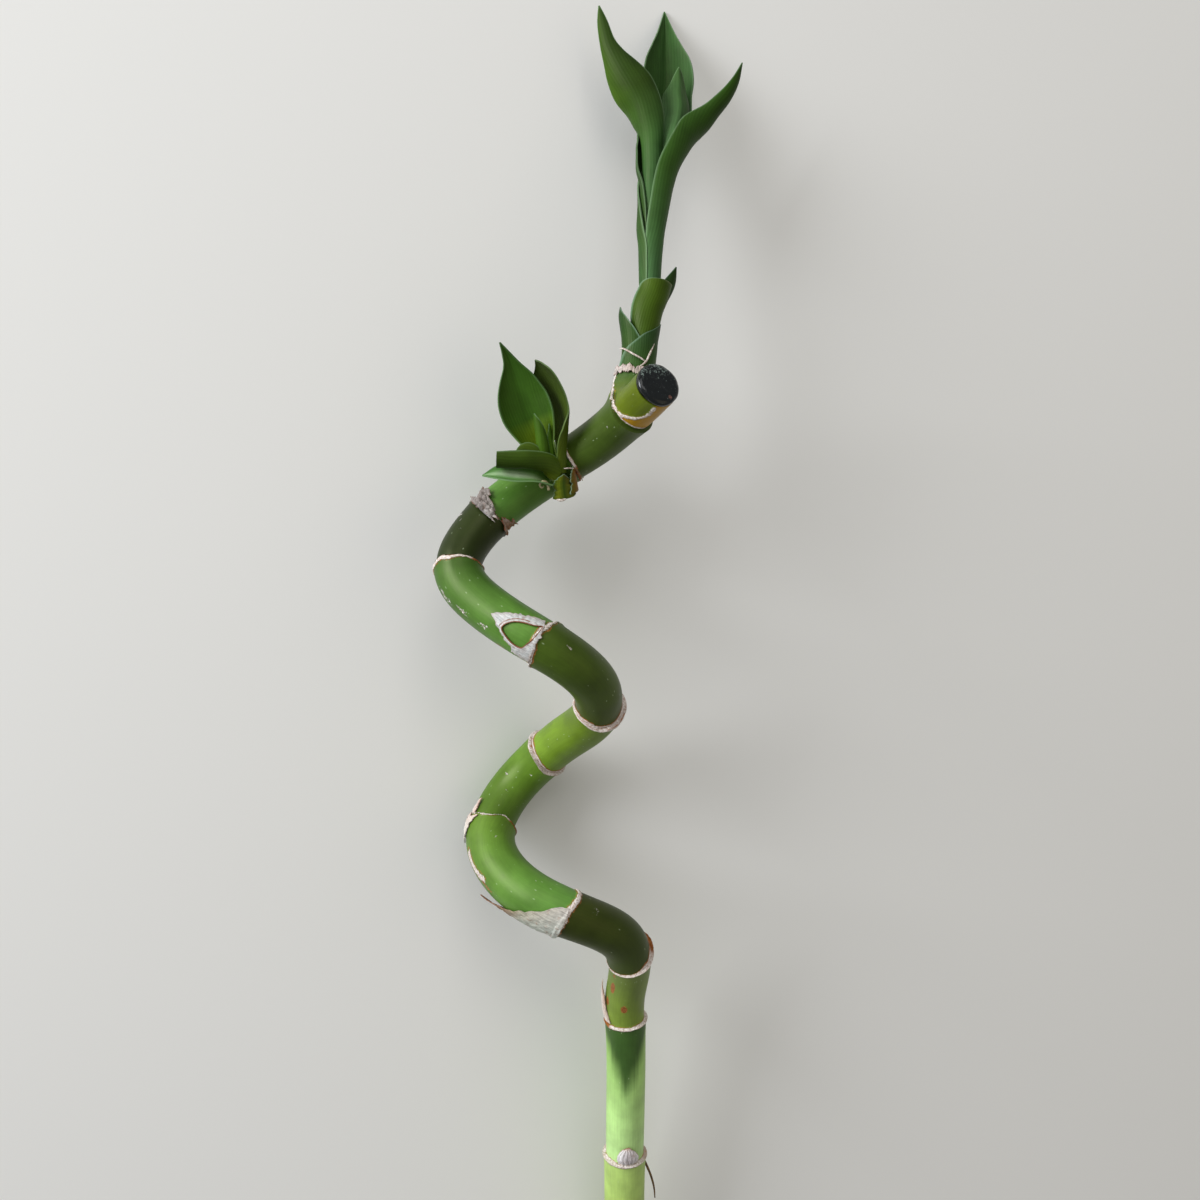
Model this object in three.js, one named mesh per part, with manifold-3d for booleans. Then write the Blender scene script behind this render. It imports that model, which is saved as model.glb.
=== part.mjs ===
// Lucky bamboo: a cut spiral cane with a sealed top, side shoots and dry sheath remnants, lying down.
// Millimetres. The plant is drawn as it grew, its straight foot up the Z axis, and then laid on its back.
import * as THREE from 'three';
import { mergeVertices } from 'three/addons/utils/BufferGeometryUtils.js';
import Module from 'manifold-3d';

const wasm = await Module();
wasm.setup();

// Driving dimensions
const gap = 0.3; // clearance between pieces that touch
const bladeThickness = 0.6; // leaves, scales and sheaths
const scaleLift = 0.45; // inner side of a dry scale above the cane
const layBack = -82.05; // turn about X that lays the plant on its back, degrees
const layRoll = -17.37; // turn about the straight foot before that, degrees

// The middle of the cane from its cut foot to its sealed end: straight, then about two and a half turns
const caneRoute = [
  [0, 0, 0],
  [0, 0, 33.5],
  [0, 0, 67.5],
  [0, 0, 101],
  [0.5, 0, 137],
  [-1, 0.5, 151.5],
  [1.5, -4.5, 165],
  [0.5, -9, 180],
  [-12.5, -15.5, 190],
  [-27, -14, 195],
  [-39.5, -3.5, 199.5],
  [-45, 9, 206.5],
  [-37.5, 22, 216],
  [-26.5, 22, 227.5],
  [-18, 14, 238],
  [-9.5, 4, 247.5],
  [-7.5, -3.5, 260.5],
  [-16, -13.5, 273],
  [-28.5, -13, 280.5],
  [-41.5, -4.5, 286],
  [-53, 3.5, 294.5],
  [-44.5, 15.5, 305.5],
  [-34, 23, 313],
  [-20.5, 24.5, 321.5],
  [-8, 20.5, 330],
  [1, 12.5, 340],
  [7.4, 2.2, 348.8],
];

// Each node: distance up the cane, radius of the internode above it, how far its collar stands out,
// and the angle round the cane where the collar stands out most
const caneNodes = [
  { at: 0, radius: 7.0, collar: 0, side: 0 },
  { at: 35, radius: 6.8, collar: 0.6, side: 0 },
  { at: 92, radius: 6.4, collar: 0.6, side: 0 },
  { at: 144.6, radius: 6.4, collar: 0.6, side: 90 },
  { at: 173, radius: 7.2, collar: 1.4, side: 70 },
  { at: 204.5, radius: 7.6, collar: 0.5, side: 0 },
  { at: 245.5, radius: 7.1, collar: 0.4, side: 0 },
  { at: 278, radius: 7.0, collar: 0.7, side: 0 },
  { at: 312.5, radius: 7.2, collar: 0.5, side: 60 },
  { at: 348.5, radius: 7.0, collar: 0.4, side: 0 },
  { at: 384, radius: 6.8, collar: 0.4, side: 0 },
  { at: 402.5, radius: 6.8, collar: 0.5, side: 0 },
  { at: 436, radius: 6.7, collar: 0.4, side: 0 },
  { at: 461, radius: 6.4, collar: 0.5, side: 0 },
];
const ridgeHalf = 0.8; // half the height of a node's ring
const caneSides = 14;
const stemSides = 12;
const rowStep = 6; // length of cane between rows of faces where it bends

const sealRadius = 6.4;
const sealHeight = 2.0;

const deg = Math.PI / 180;
const clamp = THREE.MathUtils.clamp;

// A smooth curve that is led by its points, with even steps between them
class LedCurve extends THREE.Curve {
  constructor(points) {
    super();
    this.points = points.map((p) => new THREE.Vector3(...p));
    this.arcLengthDivisions = 1500;
  }

  pointNumber(i) {
    const p = this.points;
    const last = p.length - 1;
    if (i < 0) return p[0].clone().multiplyScalar(2).sub(p[1]);
    if (i > last) return p[last].clone().multiplyScalar(2).sub(p[last - 1]);
    return p[i];
  }

  getPoint(t, target = new THREE.Vector3()) {
    const x = clamp(t, 0, 1) * (this.points.length - 1);
    const i = Math.min(Math.floor(x), this.points.length - 2);
    const w = x - i;
    const weights = [
      (1 - w) ** 3 / 6,
      (3 * w ** 3 - 6 * w * w + 4) / 6,
      (-3 * w ** 3 + 3 * w * w + 3 * w + 1) / 6,
      w ** 3 / 6,
    ];
    target.set(0, 0, 0);
    weights.forEach((weight, k) => target.addScaledVector(this.pointNumber(i - 1 + k), weight));
    return target;
  }
}

const cane = new LedCurve(caneRoute);
const caneLength = cane.getLength();
// The side that faces up when the plant lies
const viewTilt = 18 * deg;
const viewSide = new THREE.Vector3(0, -Math.cos(viewTilt), Math.sin(viewTilt));

// The cane's middle, its direction, the side that faces up, and the side to the right of that
function caneFrame(s) {
  const u = clamp(s / caneLength, 0, 1);
  const along = cane.getTangentAt(u).normalize();
  const front = viewSide.clone().addScaledVector(along, -viewSide.dot(along)).normalize();
  const right = new THREE.Vector3().crossVectors(along, front);
  const middle = cane.getPointAt(u).addScaledVector(along, s - u * caneLength);
  return { middle, along, front, right };
}

function nodeBelow(s) {
  return caneNodes.findLast((node) => node.at <= s) ?? caneNodes[0];
}

// Radius of the cane: each internode swells into its collar, carries a thin ring and steps in above it
function caneRadius(s, angle) {
  const from = nodeBelow(s);
  let radius = from.radius - 0.25 * Math.exp(-(s - from.at) / 3);
  for (const node of caneNodes.slice(1)) {
    const below = node.at - s;
    const lean = node.collar * (1 + 0.6 * Math.cos((angle - node.side) * deg));
    if (below >= 0) radius += 0.7 * lean * Math.exp(-below / 4);
    if (Math.abs(below) <= ridgeHalf) radius += 0.5 * lean;
  }
  return radius;
}

function canePoint(s, angle, lift) {
  const { middle, front, right } = caneFrame(s);
  const radius = caneRadius(s, angle) + lift;
  return middle
    .addScaledVector(right, radius * Math.sin(angle * deg))
    .addScaledVector(front, radius * Math.cos(angle * deg));
}

// Distances up the cane where it gets a row of corners
function caneRows() {
  const rows = [];
  caneNodes.forEach((node, i) => {
    const top = caneNodes[i + 1]?.at ?? caneLength;
    const start = i === 0 ? 0 : node.at + ridgeHalf + 0.1;
    const end = i === caneNodes.length - 1 ? caneLength : top - ridgeHalf - 0.1;
    const count = Math.max(2, Math.round((end - start) / (end < 130 ? 12 : rowStep)));
    for (let k = 0; k <= count; k++) rows.push(start + ((end - start) * k) / count);
    if (end < caneLength) rows.push(top - ridgeHalf, top + ridgeHalf);
  });
  return rows;
}

// A closed tube round the cane's middle, made from a cylinder whose corners are put in place one by one
function caneTube(rows, sides, grow) {
  const shape = new THREE.CylinderGeometry(1, 1, 1, sides, rows.length - 1);
  return place(shape, (p) => {
    const row = Math.round((0.5 + p.y) * (rows.length - 1));
    const angle = Math.atan2(p.x, p.z) / deg;
    const { middle, front, right } = caneFrame(rows[row]);
    const radius = Math.hypot(p.x, p.z) * (caneRadius(rows[row], angle) + grow);
    return middle
      .addScaledVector(right, radius * Math.sin(angle * deg))
      .addScaledVector(front, radius * Math.cos(angle * deg));
  });
}

// Puts every corner of a shape where a rule says, and joins the corners that meet
function place(shape, rule) {
  shape.deleteAttribute('normal');
  shape.deleteAttribute('uv');
  const merged = mergeVertices(shape, 1e-4);
  const corners = merged.attributes.position;
  for (let i = 0; i < corners.count; i++) {
    const p = rule(new THREE.Vector3().fromBufferAttribute(corners, i));
    corners.setXYZ(i, p.x, p.y, p.z);
  }
  return merged;
}

function toSolid(shape) {
  const merged = mergeVertices(shape, 1e-4);
  return new wasm.Manifold(
    new wasm.Mesh({
      numProp: 3,
      vertProperties: new Float32Array(merged.attributes.position.array),
      triVerts: new Uint32Array(merged.index.array),
    }),
  );
}

function fromSolid(solid) {
  const mesh = solid.getMesh();
  const shape = new THREE.BufferGeometry();
  shape.setAttribute('position', new THREE.BufferAttribute(new Float32Array(mesh.vertProperties), 3));
  shape.setIndex(new THREE.BufferAttribute(new Uint32Array(mesh.triVerts), 1));
  return shape;
}

const plant = new THREE.Group();

function addPiece(name, shape, color, roughness) {
  const flat = shape.index ? shape.toNonIndexed() : shape;
  flat.computeVertexNormals();
  const material = new THREE.MeshStandardMaterial({ color, roughness, metalness: 0 });
  const mesh = new THREE.Mesh(flat, material);
  mesh.name = name;
  plant.add(mesh);
  return mesh;
}

// The wax seal on the cut end: a shallow rounded disc
function sealShape() {
  const profile = [
    [0, 0],
    [sealRadius - 0.5, 0],
    [sealRadius, 0.5],
    [sealRadius, sealHeight - 0.6],
    [sealRadius - 0.7, sealHeight],
    [0, sealHeight],
  ].map(([x, y]) => new THREE.Vector2(x, y));
  const { middle, along, front, right } = caneFrame(caneLength + gap);
  const basis = new THREE.Matrix4().makeBasis(right, along, front).setPosition(middle);
  return place(new THREE.LatheGeometry(profile, 20), (p) => p.applyMatrix4(basis));
}
addPiece('wax_seal', sealShape(), '#0c1210', 0.3);

// A shoot's own frame: its foot, the way it grows, the side that faces up, and the side to the right of that
function shootFrame(foot, top) {
  const origin = new THREE.Vector3(...foot);
  const along = new THREE.Vector3(...top).sub(origin).normalize();
  const front = viewSide.clone().addScaledVector(along, -viewSide.dot(along)).normalize();
  const right = new THREE.Vector3().crossVectors(along, front);
  return new THREE.Matrix4().makeBasis(right, front.clone().negate(), along).setPosition(origin);
}

// A leaf, scale or sheath is a strip that is rolled round its length. Each row of its table is a place along
// it: right, front, up, facing, half width, roll, dip and turn. Facing is the angle of its outer side round
// the shoot from the front, to the right; roll is half the angle that the strip bends round; dip turns the
// outer side down; turn moves the strip round its own bend.
function leafShape(frame, rows, grow = 0) {
  const acrossSteps = Math.max(...rows.map((row) => row[5])) > 100 ? 10 : 6;
  const alongSteps = rows.length + 2;
  const spine = new THREE.CatmullRomCurve3(
    rows.map(([right, front, up]) => new THREE.Vector3(right, -front, up)),
    false,
    'catmullrom',
    0.5,
  );
  const outer = new THREE.CatmullRomCurve3(
    rows.map(([, , , facing, , , dip = 0]) => {
      const level = Math.cos(dip * deg);
      const right = Math.sin(facing * deg) * level;
      const back = -Math.cos(facing * deg) * level;
      return new THREE.Vector3(right, back, -Math.sin(dip * deg));
    }),
    false,
    'catmullrom',
    0.5,
  );
  const form = new THREE.CatmullRomCurve3(
    rows.map(([, , , , half, roll, , turn = 0]) => new THREE.Vector3(half, roll, turn)),
    false,
    'catmullrom',
    0.5,
  );
  const strip = new THREE.BoxGeometry(1, 1, 1, acrossSteps, alongSteps, 1);
  return place(strip, (p) => {
    const t = clamp(p.y + 0.5, 0, 1);
    const along = spine.getTangent(t);
    const out = outer.getPoint(t);
    out.addScaledVector(along, -out.dot(along)).normalize();
    const across = new THREE.Vector3().crossVectors(along, out);
    const { x: half, y: roll, z: turn } = form.getPoint(t);
    const bend = Math.max(roll, 3) * deg;
    const radius = half / bend;
    const angle = 2 * p.x * bend * (1 + grow / half) + turn * deg;
    const reach = radius + p.z * (bladeThickness + 2 * grow);
    return spine
      .getPoint(t)
      .addScaledVector(across, reach * Math.sin(angle))
      .addScaledVector(out, reach * Math.cos(angle) - radius)
      .applyMatrix4(frame);
  });
}

// A shoot's stem: rows of height, radius, right and front
function stemShape(frame, rows, grow = 0) {
  const shape = new THREE.CylinderGeometry(1, 1, 1, stemSides, rows.length - 1);
  return place(shape, (p) => {
    const row = Math.round((0.5 + p.y) * (rows.length - 1));
    const [up, radius, right, front] = rows[row];
    const reach = radius + grow;
    const end = row === 0 ? -grow : row === rows.length - 1 ? grow : 0;
    return new THREE.Vector3(right + reach * p.x, -(front + reach * p.z), up + end).applyMatrix4(frame);
  });
}

const upper = shootFrame([2.5, 19.5, 349.5], [8.5, 45.5, 407.5]);
const lower = shootFrame([-19, 14.5, 316.5], [-24, 15.5, 343]);

// The cane, with the swelling that the upper shoot grew from
const swelling = [
  [-13, 3.4, -0.8, 0],
  [-11, 5.4, -0.8, 0],
  [-7, 6.5, -0.8, 0],
  [-3, 6.1, -0.7, 0],
  [0.6, 5.3, -0.5, 0],
];
function caneSolid(grow) {
  const tube = toSolid(caneTube(caneRows(), caneSides, grow));
  return tube.add(toSolid(stemShape(upper, swelling, grow)));
}
addPiece('cane', fromSolid(caneSolid(0)), '#4f7f35', 0.4);
const caneRoom = caneSolid(gap);

// Leaves and stems give way to the ones before them: each is cut back where it would come too near
const rooms = [caneRoom];

function giveWay(shape) {
  let solid = toSolid(shape);
  for (const room of rooms) {
    if (solid.intersect(room).volume() > 0) solid = solid.subtract(room);
  }
  const largestFirst = solid.decompose().sort((a, b) => b.volume() - a.volume());
  return fromSolid(largestFirst[0]);
}

function addStem(name, frame, rows, color) {
  addPiece(name, giveWay(stemShape(frame, rows)), color, 0.5);
  rooms.push(toSolid(stemShape(frame, rows, gap)));
}

function addLeaf(name, frame, rows, color) {
  addPiece(name, giveWay(leafShape(frame, rows)), color, 0.5);
  rooms.push(toSolid(leafShape(frame, rows, gap)));
}

// The upper shoot
const upperStem = [
  [1, 5.3, -0.5, 0],
  [3, 4.6, -0.5, 0],
  [5.5, 3.7, -0.4, 0],
  [10, 3.3, -0.1, 0],
  [14, 3.1, 0.4, 0],
  [21, 3.0, 0.5, 0],
  [23.5, 2.3, 0.6, 0],
  [26, 1.9, 0.8, 0],
  [36, 1.4, 0.3, 0],
  [46, 1.1, 0, 0],
];
addStem('upper_stem', upper, upperStem, '#46682e');
const upperLeaves = {
  upper_scale_right: [
    [4.9, 0, 3, 90, 14.0, 150],
    [5.0, 0, 7, 90, 11.6, 124],
    [5.0, 0, 10, 90, 8.0, 88],
    [5.2, 0, 12.5, 90, 4.6, 54],
    [5.4, 0, 15.7, 90, 0.5, 30],
  ],
  upper_scale_left: [
    [-4.6, 0, 6.3, -90, 8.6, 120],
    [-5.3, 0, 10.5, -90, 6.8, 94],
    [-6.2, 0, 14, -90, 5.0, 68],
    [-6.8, 0, 17, -90, 3.0, 50],
    [-6.7, 0, 19.7, -90, 0.5, 30],
  ],
  upper_bract: [
    [4.6, 0, 14, 90, 11.0, 158],
    [5.3, 0, 18, 90, 12.4, 156],
    [6.5, 0, 22.5, 90, 12.4, 144],
    [7.4, 0, 26, 90, 9.4, 104],
    [8.0, 0, 29.5, 90, 4.4, 55],
    [8.2, 0, 33.3, 90, 0.5, 30],
  ],
  upper_leaf_right: [
    [4.3, 0, 26.5, 90, 9.4, 176, 0, 63],
    [4.0, 0, 34.5, 90, 10.4, 176, 0, 63],
    [4.0, 0, 39, 90, 11.1, 176, 0, 63],
    [4.1, 0, 44, 90, 12.2, 174, 0, 63],
    [4.7, 0, 51, 90, 12.2, 152, 0, 47],
    [5.4, 0, 57.7, 90, 12.1, 130, 0, 34],
    [6.4, -0.2, 63.2, 91, 11.9, 107, 0, 19],
    [9.0, 0, 68.6, 82, 10.6, 88, 0, 4],
    [12.3, 2.2, 74.6, 58, 8.4, 66],
    [13.3, 2.6, 78.3, 52, 6.3, 57],
    [15.4, 2.5, 81.8, 50, 4.0, 50],
    [19.0, 2.0, 87.5, 50, 2.1, 42],
    [22.4, 1.5, 97.3, 50, 0.5, 30],
  ],
  upper_leaf_back: [
    [0.4, -2.4, 36.5, 180, 6.4, 155],
    [0.2, -2.8, 42, 180, 7.5, 152],
    [0, -3.5, 50, 180, 8.6, 142],
    [-0.2, -4.0, 57, 180, 8.7, 122],
    [-0.8, -4.9, 62, 180, 9.6, 106],
    [-0.3, -5.6, 66, 180, 10.6, 94],
    [0.5, -6.4, 70, 180, 10.9, 86],
    [1.2, -7.2, 76, 181, 10.4, 76],
    [1.0, -7.6, 82.2, 182, 9.6, 64],
    [0.5, -7.8, 88.1, 184, 9.2, 56],
    [0.7, -8.0, 93.7, 186, 8.8, 50],
    [0.2, -8.3, 99.6, 188, 7.7, 48],
    [-0.4, -8.8, 104.9, 190, 5.3, 45],
    [-1.0, -9.3, 110.3, 190, 2.8, 42],
    [-1.9, -10, 117.5, 190, 0.5, 30],
  ],
  upper_leaf_left: [
    [-1.2, 1.3, 41, -40, 4.9, 150],
    [-1.8, 1.5, 47.7, -42, 6.2, 150],
    [-2.6, 1.6, 55.3, -45, 6.8, 146],
    [-3.2, 1.8, 62.8, -45, 6.5, 126],
    [-3.8, 2.0, 68.2, -44, 6.0, 106],
    [-4.4, 2.6, 72.1, -40, 6.2, 88],
    [-5.4, 3.4, 75.6, -35, 6.9, 74],
    [-7.7, 4.7, 80.8, -28, 7.8, 61],
    [-10.6, 5.6, 85, -26, 7.7, 54],
    [-13.1, 6.0, 89.4, -25, 6.4, 50],
    [-15.7, 6.0, 93.5, -24, 4.3, 46],
    [-18.0, 6.0, 97.6, -22, 2.7, 42],
    [-20.1, 6.0, 103.5, -20, 1.6, 37],
    [-21.4, 6.0, 108.3, -20, 0.5, 30],
  ],
  upper_leaf_young: [
    [0.2, 0.4, 54, 15, 3.0, 148],
    [1.0, 0.5, 61, 15, 3.8, 138],
    [2.8, 1.0, 67.3, 15, 4.6, 116],
    [4.0, 1.2, 73, 15, 6.4, 98],
    [4.9, 1.0, 78.4, 15, 6.9, 94],
    [5.0, 0.6, 82.5, 15, 6.6, 86],
    [4.4, 0.2, 86.6, 15, 5.2, 76],
    [4.3, -0.4, 90, 15, 2.9, 66],
    [3.9, -1, 95.3, 15, 0.5, 30],
  ],
};
for (const [name, rows] of Object.entries(upperLeaves)) addLeaf(name, upper, rows, '#3f6a25');

// The lower shoot
const lowerStem = [
  [-2.4, 2.6, 0.2, -3],
  [0, 2.9, 0.2, -1.2],
  [3, 2.4, -0.2, -0.4],
  [5, 1.4, -0.8, 0.1],
  [9.2, 1.1, -2.2, 0.8],
];
addStem('lower_stem', lower, lowerStem, '#7a8f1e');
const lowerLeaves = {
  lower_bract_right: [
    [4.2, 0.4, -0.5, 78, 3.6, 50],
    [4.4, 0.6, 2.5, 76, 3.4, 48],
    [4.5, 0.6, 6.2, 74, 0.6, 30],
  ],
  lower_bract_front: [
    [0.2, 3.4, -1.5, 5, 4.2, 72],
    [0.3, 3.7, 1.5, 10, 4.3, 70],
    [0.9, 3.9, 4.6, 18, 2.2, 45],
    [1.4, 4.0, 6.8, 20, 0.5, 30],
  ],
  lower_leaf_pale: [
    [-4.0, 1.6, 2.6, -80, 3.0, 50, 0],
    [-7.4, 3.0, 5.4, -150, 3.6, 45, 60],
    [-12.5, 3.6, 7.4, 180, 4.3, 36, 60],
    [-17.5, 3.8, 8.8, 180, 3.4, 32, 60],
    [-22.4, 3.8, 9.4, 180, 0.5, 30, 60],
  ],
  lower_leaf_folded: [
    [-0.3, 3.0, 5, 10, 2.8, 60, 0],
    [-3.4, 5.0, 7.8, 0, 4.8, 85, 40],
    [-8.5, 6.4, 10, 0, 5.8, 102, 60],
    [-13, 6.8, 11.5, 0, 5.4, 98, 60],
    [-15.6, 6.9, 13.4, -6, 3.0, 74, 46],
    [-17, 6.7, 18.1, -14, 0.5, 30, 20],
  ],
  lower_leaf_right: [
    [1.5, 1.0, 5, 70, 2.8, 80],
    [2.7, 0.6, 10.5, 82, 4.2, 84],
    [4.1, -1.2, 16, 102, 6.2, 76],
    [4.4, -2.6, 21, 116, 7.4, 64],
    [3.9, -3.2, 26, 118, 7.4, 56],
    [2.7, -3.5, 31, 116, 6.6, 51],
    [1.4, -3.6, 34.6, 114, 6.0, 50],
    [0.3, -3.6, 36.8, 112, 2.9, 42],
    [-0.9, -3.6, 38.3, 110, 0.5, 30],
  ],
  lower_leaf_big: [
    [-0.9, -2.0, 4.5, 180, 4.2, 116],
    [-2.6, -2.3, 10, 181, 4.8, 104],
    [-3.9, -2.6, 13.6, 182, 6.2, 90],
    [-4.9, -2.9, 17.7, 184, 7.5, 70],
    [-5.7, -3.3, 21.5, 184, 8.4, 56],
    [-6.4, -3.6, 25, 184, 8.5, 48],
    [-6.9, -3.8, 29, 184, 7.8, 42],
    [-7.3, -3.7, 34, 182, 5.6, 39],
    [-7.9, -3.3, 38.5, 180, 2.6, 36],
    [-8.8, -2.7, 42, 180, 1.2, 33],
    [-9.8, -1.8, 45.3, 180, 0.5, 30],
  ],
  lower_leaf_small: [
    [-4.4, 2.4, 9.4, 0, 1.2, 40],
    [-6.6, 3.0, 13.0, 0, 2.3, 36],
    [-9, 3.4, 14.2, 0, 2.1, 34],
    [-11.8, 3.8, 14.0, 0, 0.5, 30],
  ],
  lower_leaf_young: [
    [-4.9, 1.7, 10.2, -60, 3.0, 136],
    [-5.0, 1.9, 13, -60, 4.0, 132],
    [-4.6, 1.8, 18, -60, 3.3, 118],
    [-4.3, 1.5, 21.5, -60, 1.8, 85],
    [-4.0, 1.2, 23.8, -60, 0.5, 30],
  ],
  lower_leaf_bud: [
    [-0.9, 1.0, 9.9, 60, 1.3, 100],
    [-0.7, 1.0, 12.5, 60, 1.5, 95],
    [-0.5, 0.9, 16.5, 60, 1.3, 80],
    [-0.4, 0.7, 20, 60, 0.5, 30],
  ],
};
for (const [name, rows] of Object.entries(lowerLeaves)) addLeaf(name, lower, rows, '#46701e');

// Dry remnants of the old leaf sheaths. Each row is a distance up the cane, the angles round it where the
// remnant starts and stops, and how far it stands off
function scaleShape(rows) {
  const strip = new THREE.BoxGeometry(1, 1, 1, 4, rows.length - 1);
  return place(strip, (p) => {
    const [s, from, to, lift] = rows[Math.round((p.y + 0.5) * (rows.length - 1))];
    const angle = from + (to - from) * (p.x + 0.5);
    return canePoint(s, angle, scaleLift + lift + (p.z + 0.5) * bladeThickness);
  });
}

const dryScales = {
  dry_bud_scale: [
    [92.9, -27, 44, 0],
    [94.8, -27, 42, 0.4],
    [97, -20, 36, 0.3],
    [98.7, -4, 20, 0],
  ],
  dry_point_scale: [
    [146, -96, -52, 0],
    [148.5, -96, -64, 0.1],
    [151.5, -97, -76, 0.5],
    [155, -97, -84, 1.0],
    [158.5, -95, -87, 1.5],
  ],
  dry_sheath_curl: [
    [206, -108, 10, 0],
    [208.5, -108, -6, 0],
    [211.5, -107, -19, 0],
    [214.5, -106, -32, 0],
    [218, -104, -52, 0.1],
    [222, -101, -72, 0.5],
    [226.8, -96, -84, 1.6],
  ],
  dry_flake_left: [
    [241.6, -88, -78, 0.1],
    [243, -90, -64, 0],
    [244.4, -90, -48, 0],
  ],
  dry_flake_upper: [
    [246.8, -74, -50, 0],
    [249, -80, -62, 0.2],
    [251.4, -85, -74, 0.5],
  ],
  dry_flake_crumpled: [
    [399.8, -24, 15, 0.2],
    [401.4, -60, 16, 0.5],
    [404, -62, -10, 0.3],
    [406.9, -56, -44, 0.8],
  ],
  dry_flake_brown: [
    [401.3, 50, 72, 0.5],
    [403.5, 27, 69, 0.2],
    [405, 44, 66, 0.3],
    [407, 58, 66, 0.6],
  ],
};
for (const [name, rows] of Object.entries(dryScales)) {
  addPiece(name, giveWay(scaleShape(rows)), '#c8c2b8', 0.8);
}

// The largest remnant goes round the scar of a bud, which shows through it as an eye
const scarRows = [
  [350, -84, 56, 0],
  [352, -66, 44, 0],
  [353.6, -46, 38, 0],
  [356, -28, 30, 0],
  [358.5, -15, 20, 0],
  [361.9, -4, 2, 0],
];
const eye = { at: 353.2, acrossRadius: 3.0, alongRadius: 2.3, depth: 40, sides: 14 };
const eyeFrame = caneFrame(eye.at);
const eyeHole = place(new THREE.CylinderGeometry(1, 1, eye.depth, eye.sides), (p) =>
  eyeFrame.middle
    .clone()
    .addScaledVector(eyeFrame.right, p.x * eye.acrossRadius)
    .addScaledVector(eyeFrame.along, -p.z * eye.alongRadius)
    .addScaledVector(eyeFrame.front, p.y + eye.depth / 2),
);
const scarWithEye = toSolid(scaleShape(scarRows)).subtract(toSolid(eyeHole));
addPiece('dry_sheath_scar', giveWay(fromSolid(scarWithEye)), '#c8c8c0', 0.8);

// Dry fibres round the foot of the upper shoot
const collarRows = [
  [-2.0, 5.7, -0.8, -15, 7.9, 75],
  [-2.0, 5.8, 0.6, -15, 8.0, 76],
  [-2.0, 5.6, 2.0, -15, 7.4, 72],
];
addLeaf('fibre_collar', upper, collarRows, '#b09a8c');

// A thread is a thin round rod along a smooth line
const threadSides = 6;
const threadSide = new THREE.Vector3(0.3, -1, 0.2).normalize(); // a direction that no thread runs in
function threadShape(points, radius, steps) {
  const line = new THREE.CatmullRomCurve3(points);
  return place(new THREE.CylinderGeometry(1, 1, 1, threadSides, steps), (p) => {
    const t = p.y + 0.5;
    const along = line.getTangent(t);
    const across = threadSide.clone().cross(along).normalize();
    const third = new THREE.Vector3().crossVectors(along, across);
    return line.getPoint(t).addScaledVector(across, p.z * radius).addScaledVector(third, p.x * radius);
  });
}

const tendril = [
  [-4.3, 3.3, 1.2],
  [-4.3, 3.6, 3.2],
  [-5.2, 4.1, 4.3],
  [-6.5, 4.0, 3.6],
  [-6.2, 3.8, 2.5],
  [-5.4, 3.7, 3.0],
].map(([right, front, up]) => new THREE.Vector3(right, -front, up).applyMatrix4(lower));
addPiece('tendril', giveWay(threadShape(tendril, 0.35, 14)), '#a8a070', 0.6);

const rootThread = [
  canePoint(91, 78, 1.4),
  canePoint(88, 84, 1.9),
  canePoint(83, 86, 3.0),
  canePoint(75, 88, 3.6),
];
addPiece('root_thread', giveWay(threadShape(rootThread, 0.4, 8)), '#5a4020', 0.7);

// Laid down on its back, with its foot toward -Y, and the middle of its box over the origin
plant.name = 'plant';
plant.rotation.set(layBack * deg, 0, layRoll * deg);
const box = new THREE.Box3().setFromObject(plant, true);
const middle = box.getCenter(new THREE.Vector3());
plant.position.set(-middle.x, -middle.y, -box.min.z);
plant.updateMatrixWorld(true);

export default plant;
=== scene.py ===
# Lucky bamboo: a cut spiral cane that lies on a surface, with its side shoots and the dry remains of its sheaths.
# The plant is drawn in millimetres as it grew, its straight foot up Z, and one matrix lays it down.
import math
from functools import partial

import bpy
import numpy as np
from mathutils import Matrix, Vector, noise


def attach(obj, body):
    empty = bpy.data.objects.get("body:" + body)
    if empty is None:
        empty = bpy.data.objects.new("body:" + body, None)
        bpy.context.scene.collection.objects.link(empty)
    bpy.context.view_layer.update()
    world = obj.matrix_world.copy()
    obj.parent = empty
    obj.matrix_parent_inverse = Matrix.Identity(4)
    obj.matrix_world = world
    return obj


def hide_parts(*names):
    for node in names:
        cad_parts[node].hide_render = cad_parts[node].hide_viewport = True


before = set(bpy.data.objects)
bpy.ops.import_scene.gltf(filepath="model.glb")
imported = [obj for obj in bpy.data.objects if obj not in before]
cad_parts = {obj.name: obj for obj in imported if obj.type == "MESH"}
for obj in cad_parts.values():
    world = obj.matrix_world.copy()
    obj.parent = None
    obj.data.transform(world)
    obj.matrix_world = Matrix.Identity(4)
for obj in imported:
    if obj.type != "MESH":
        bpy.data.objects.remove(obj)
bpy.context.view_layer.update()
bpy.ops.object.select_all(action="DESELECT")
mm = 0.001

laying = {
    "back": -82.05,  # degrees about X, onto its back
    "roll": -17.37,  # degrees about the straight foot, before that
    "shift": (1.641391, -228.428617, 6.653484),
    "viewTilt": 18,  # how far the view looks down on the growing plant
}
layTurn = np.array(
    Matrix.Rotation(math.radians(laying["back"]), 3, "X") @ Matrix.Rotation(math.radians(laying["roll"]), 3, "Z")
)
viewTilt = math.radians(laying["viewTilt"])
viewUp = np.array((0, math.sin(viewTilt), math.cos(viewTilt)))
viewSide = np.array((0, -math.cos(viewTilt), math.sin(viewTilt)))


def laid(points):
    return (np.asarray(points, float) @ layTurn.T + np.array(laying["shift"])) * mm


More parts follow.
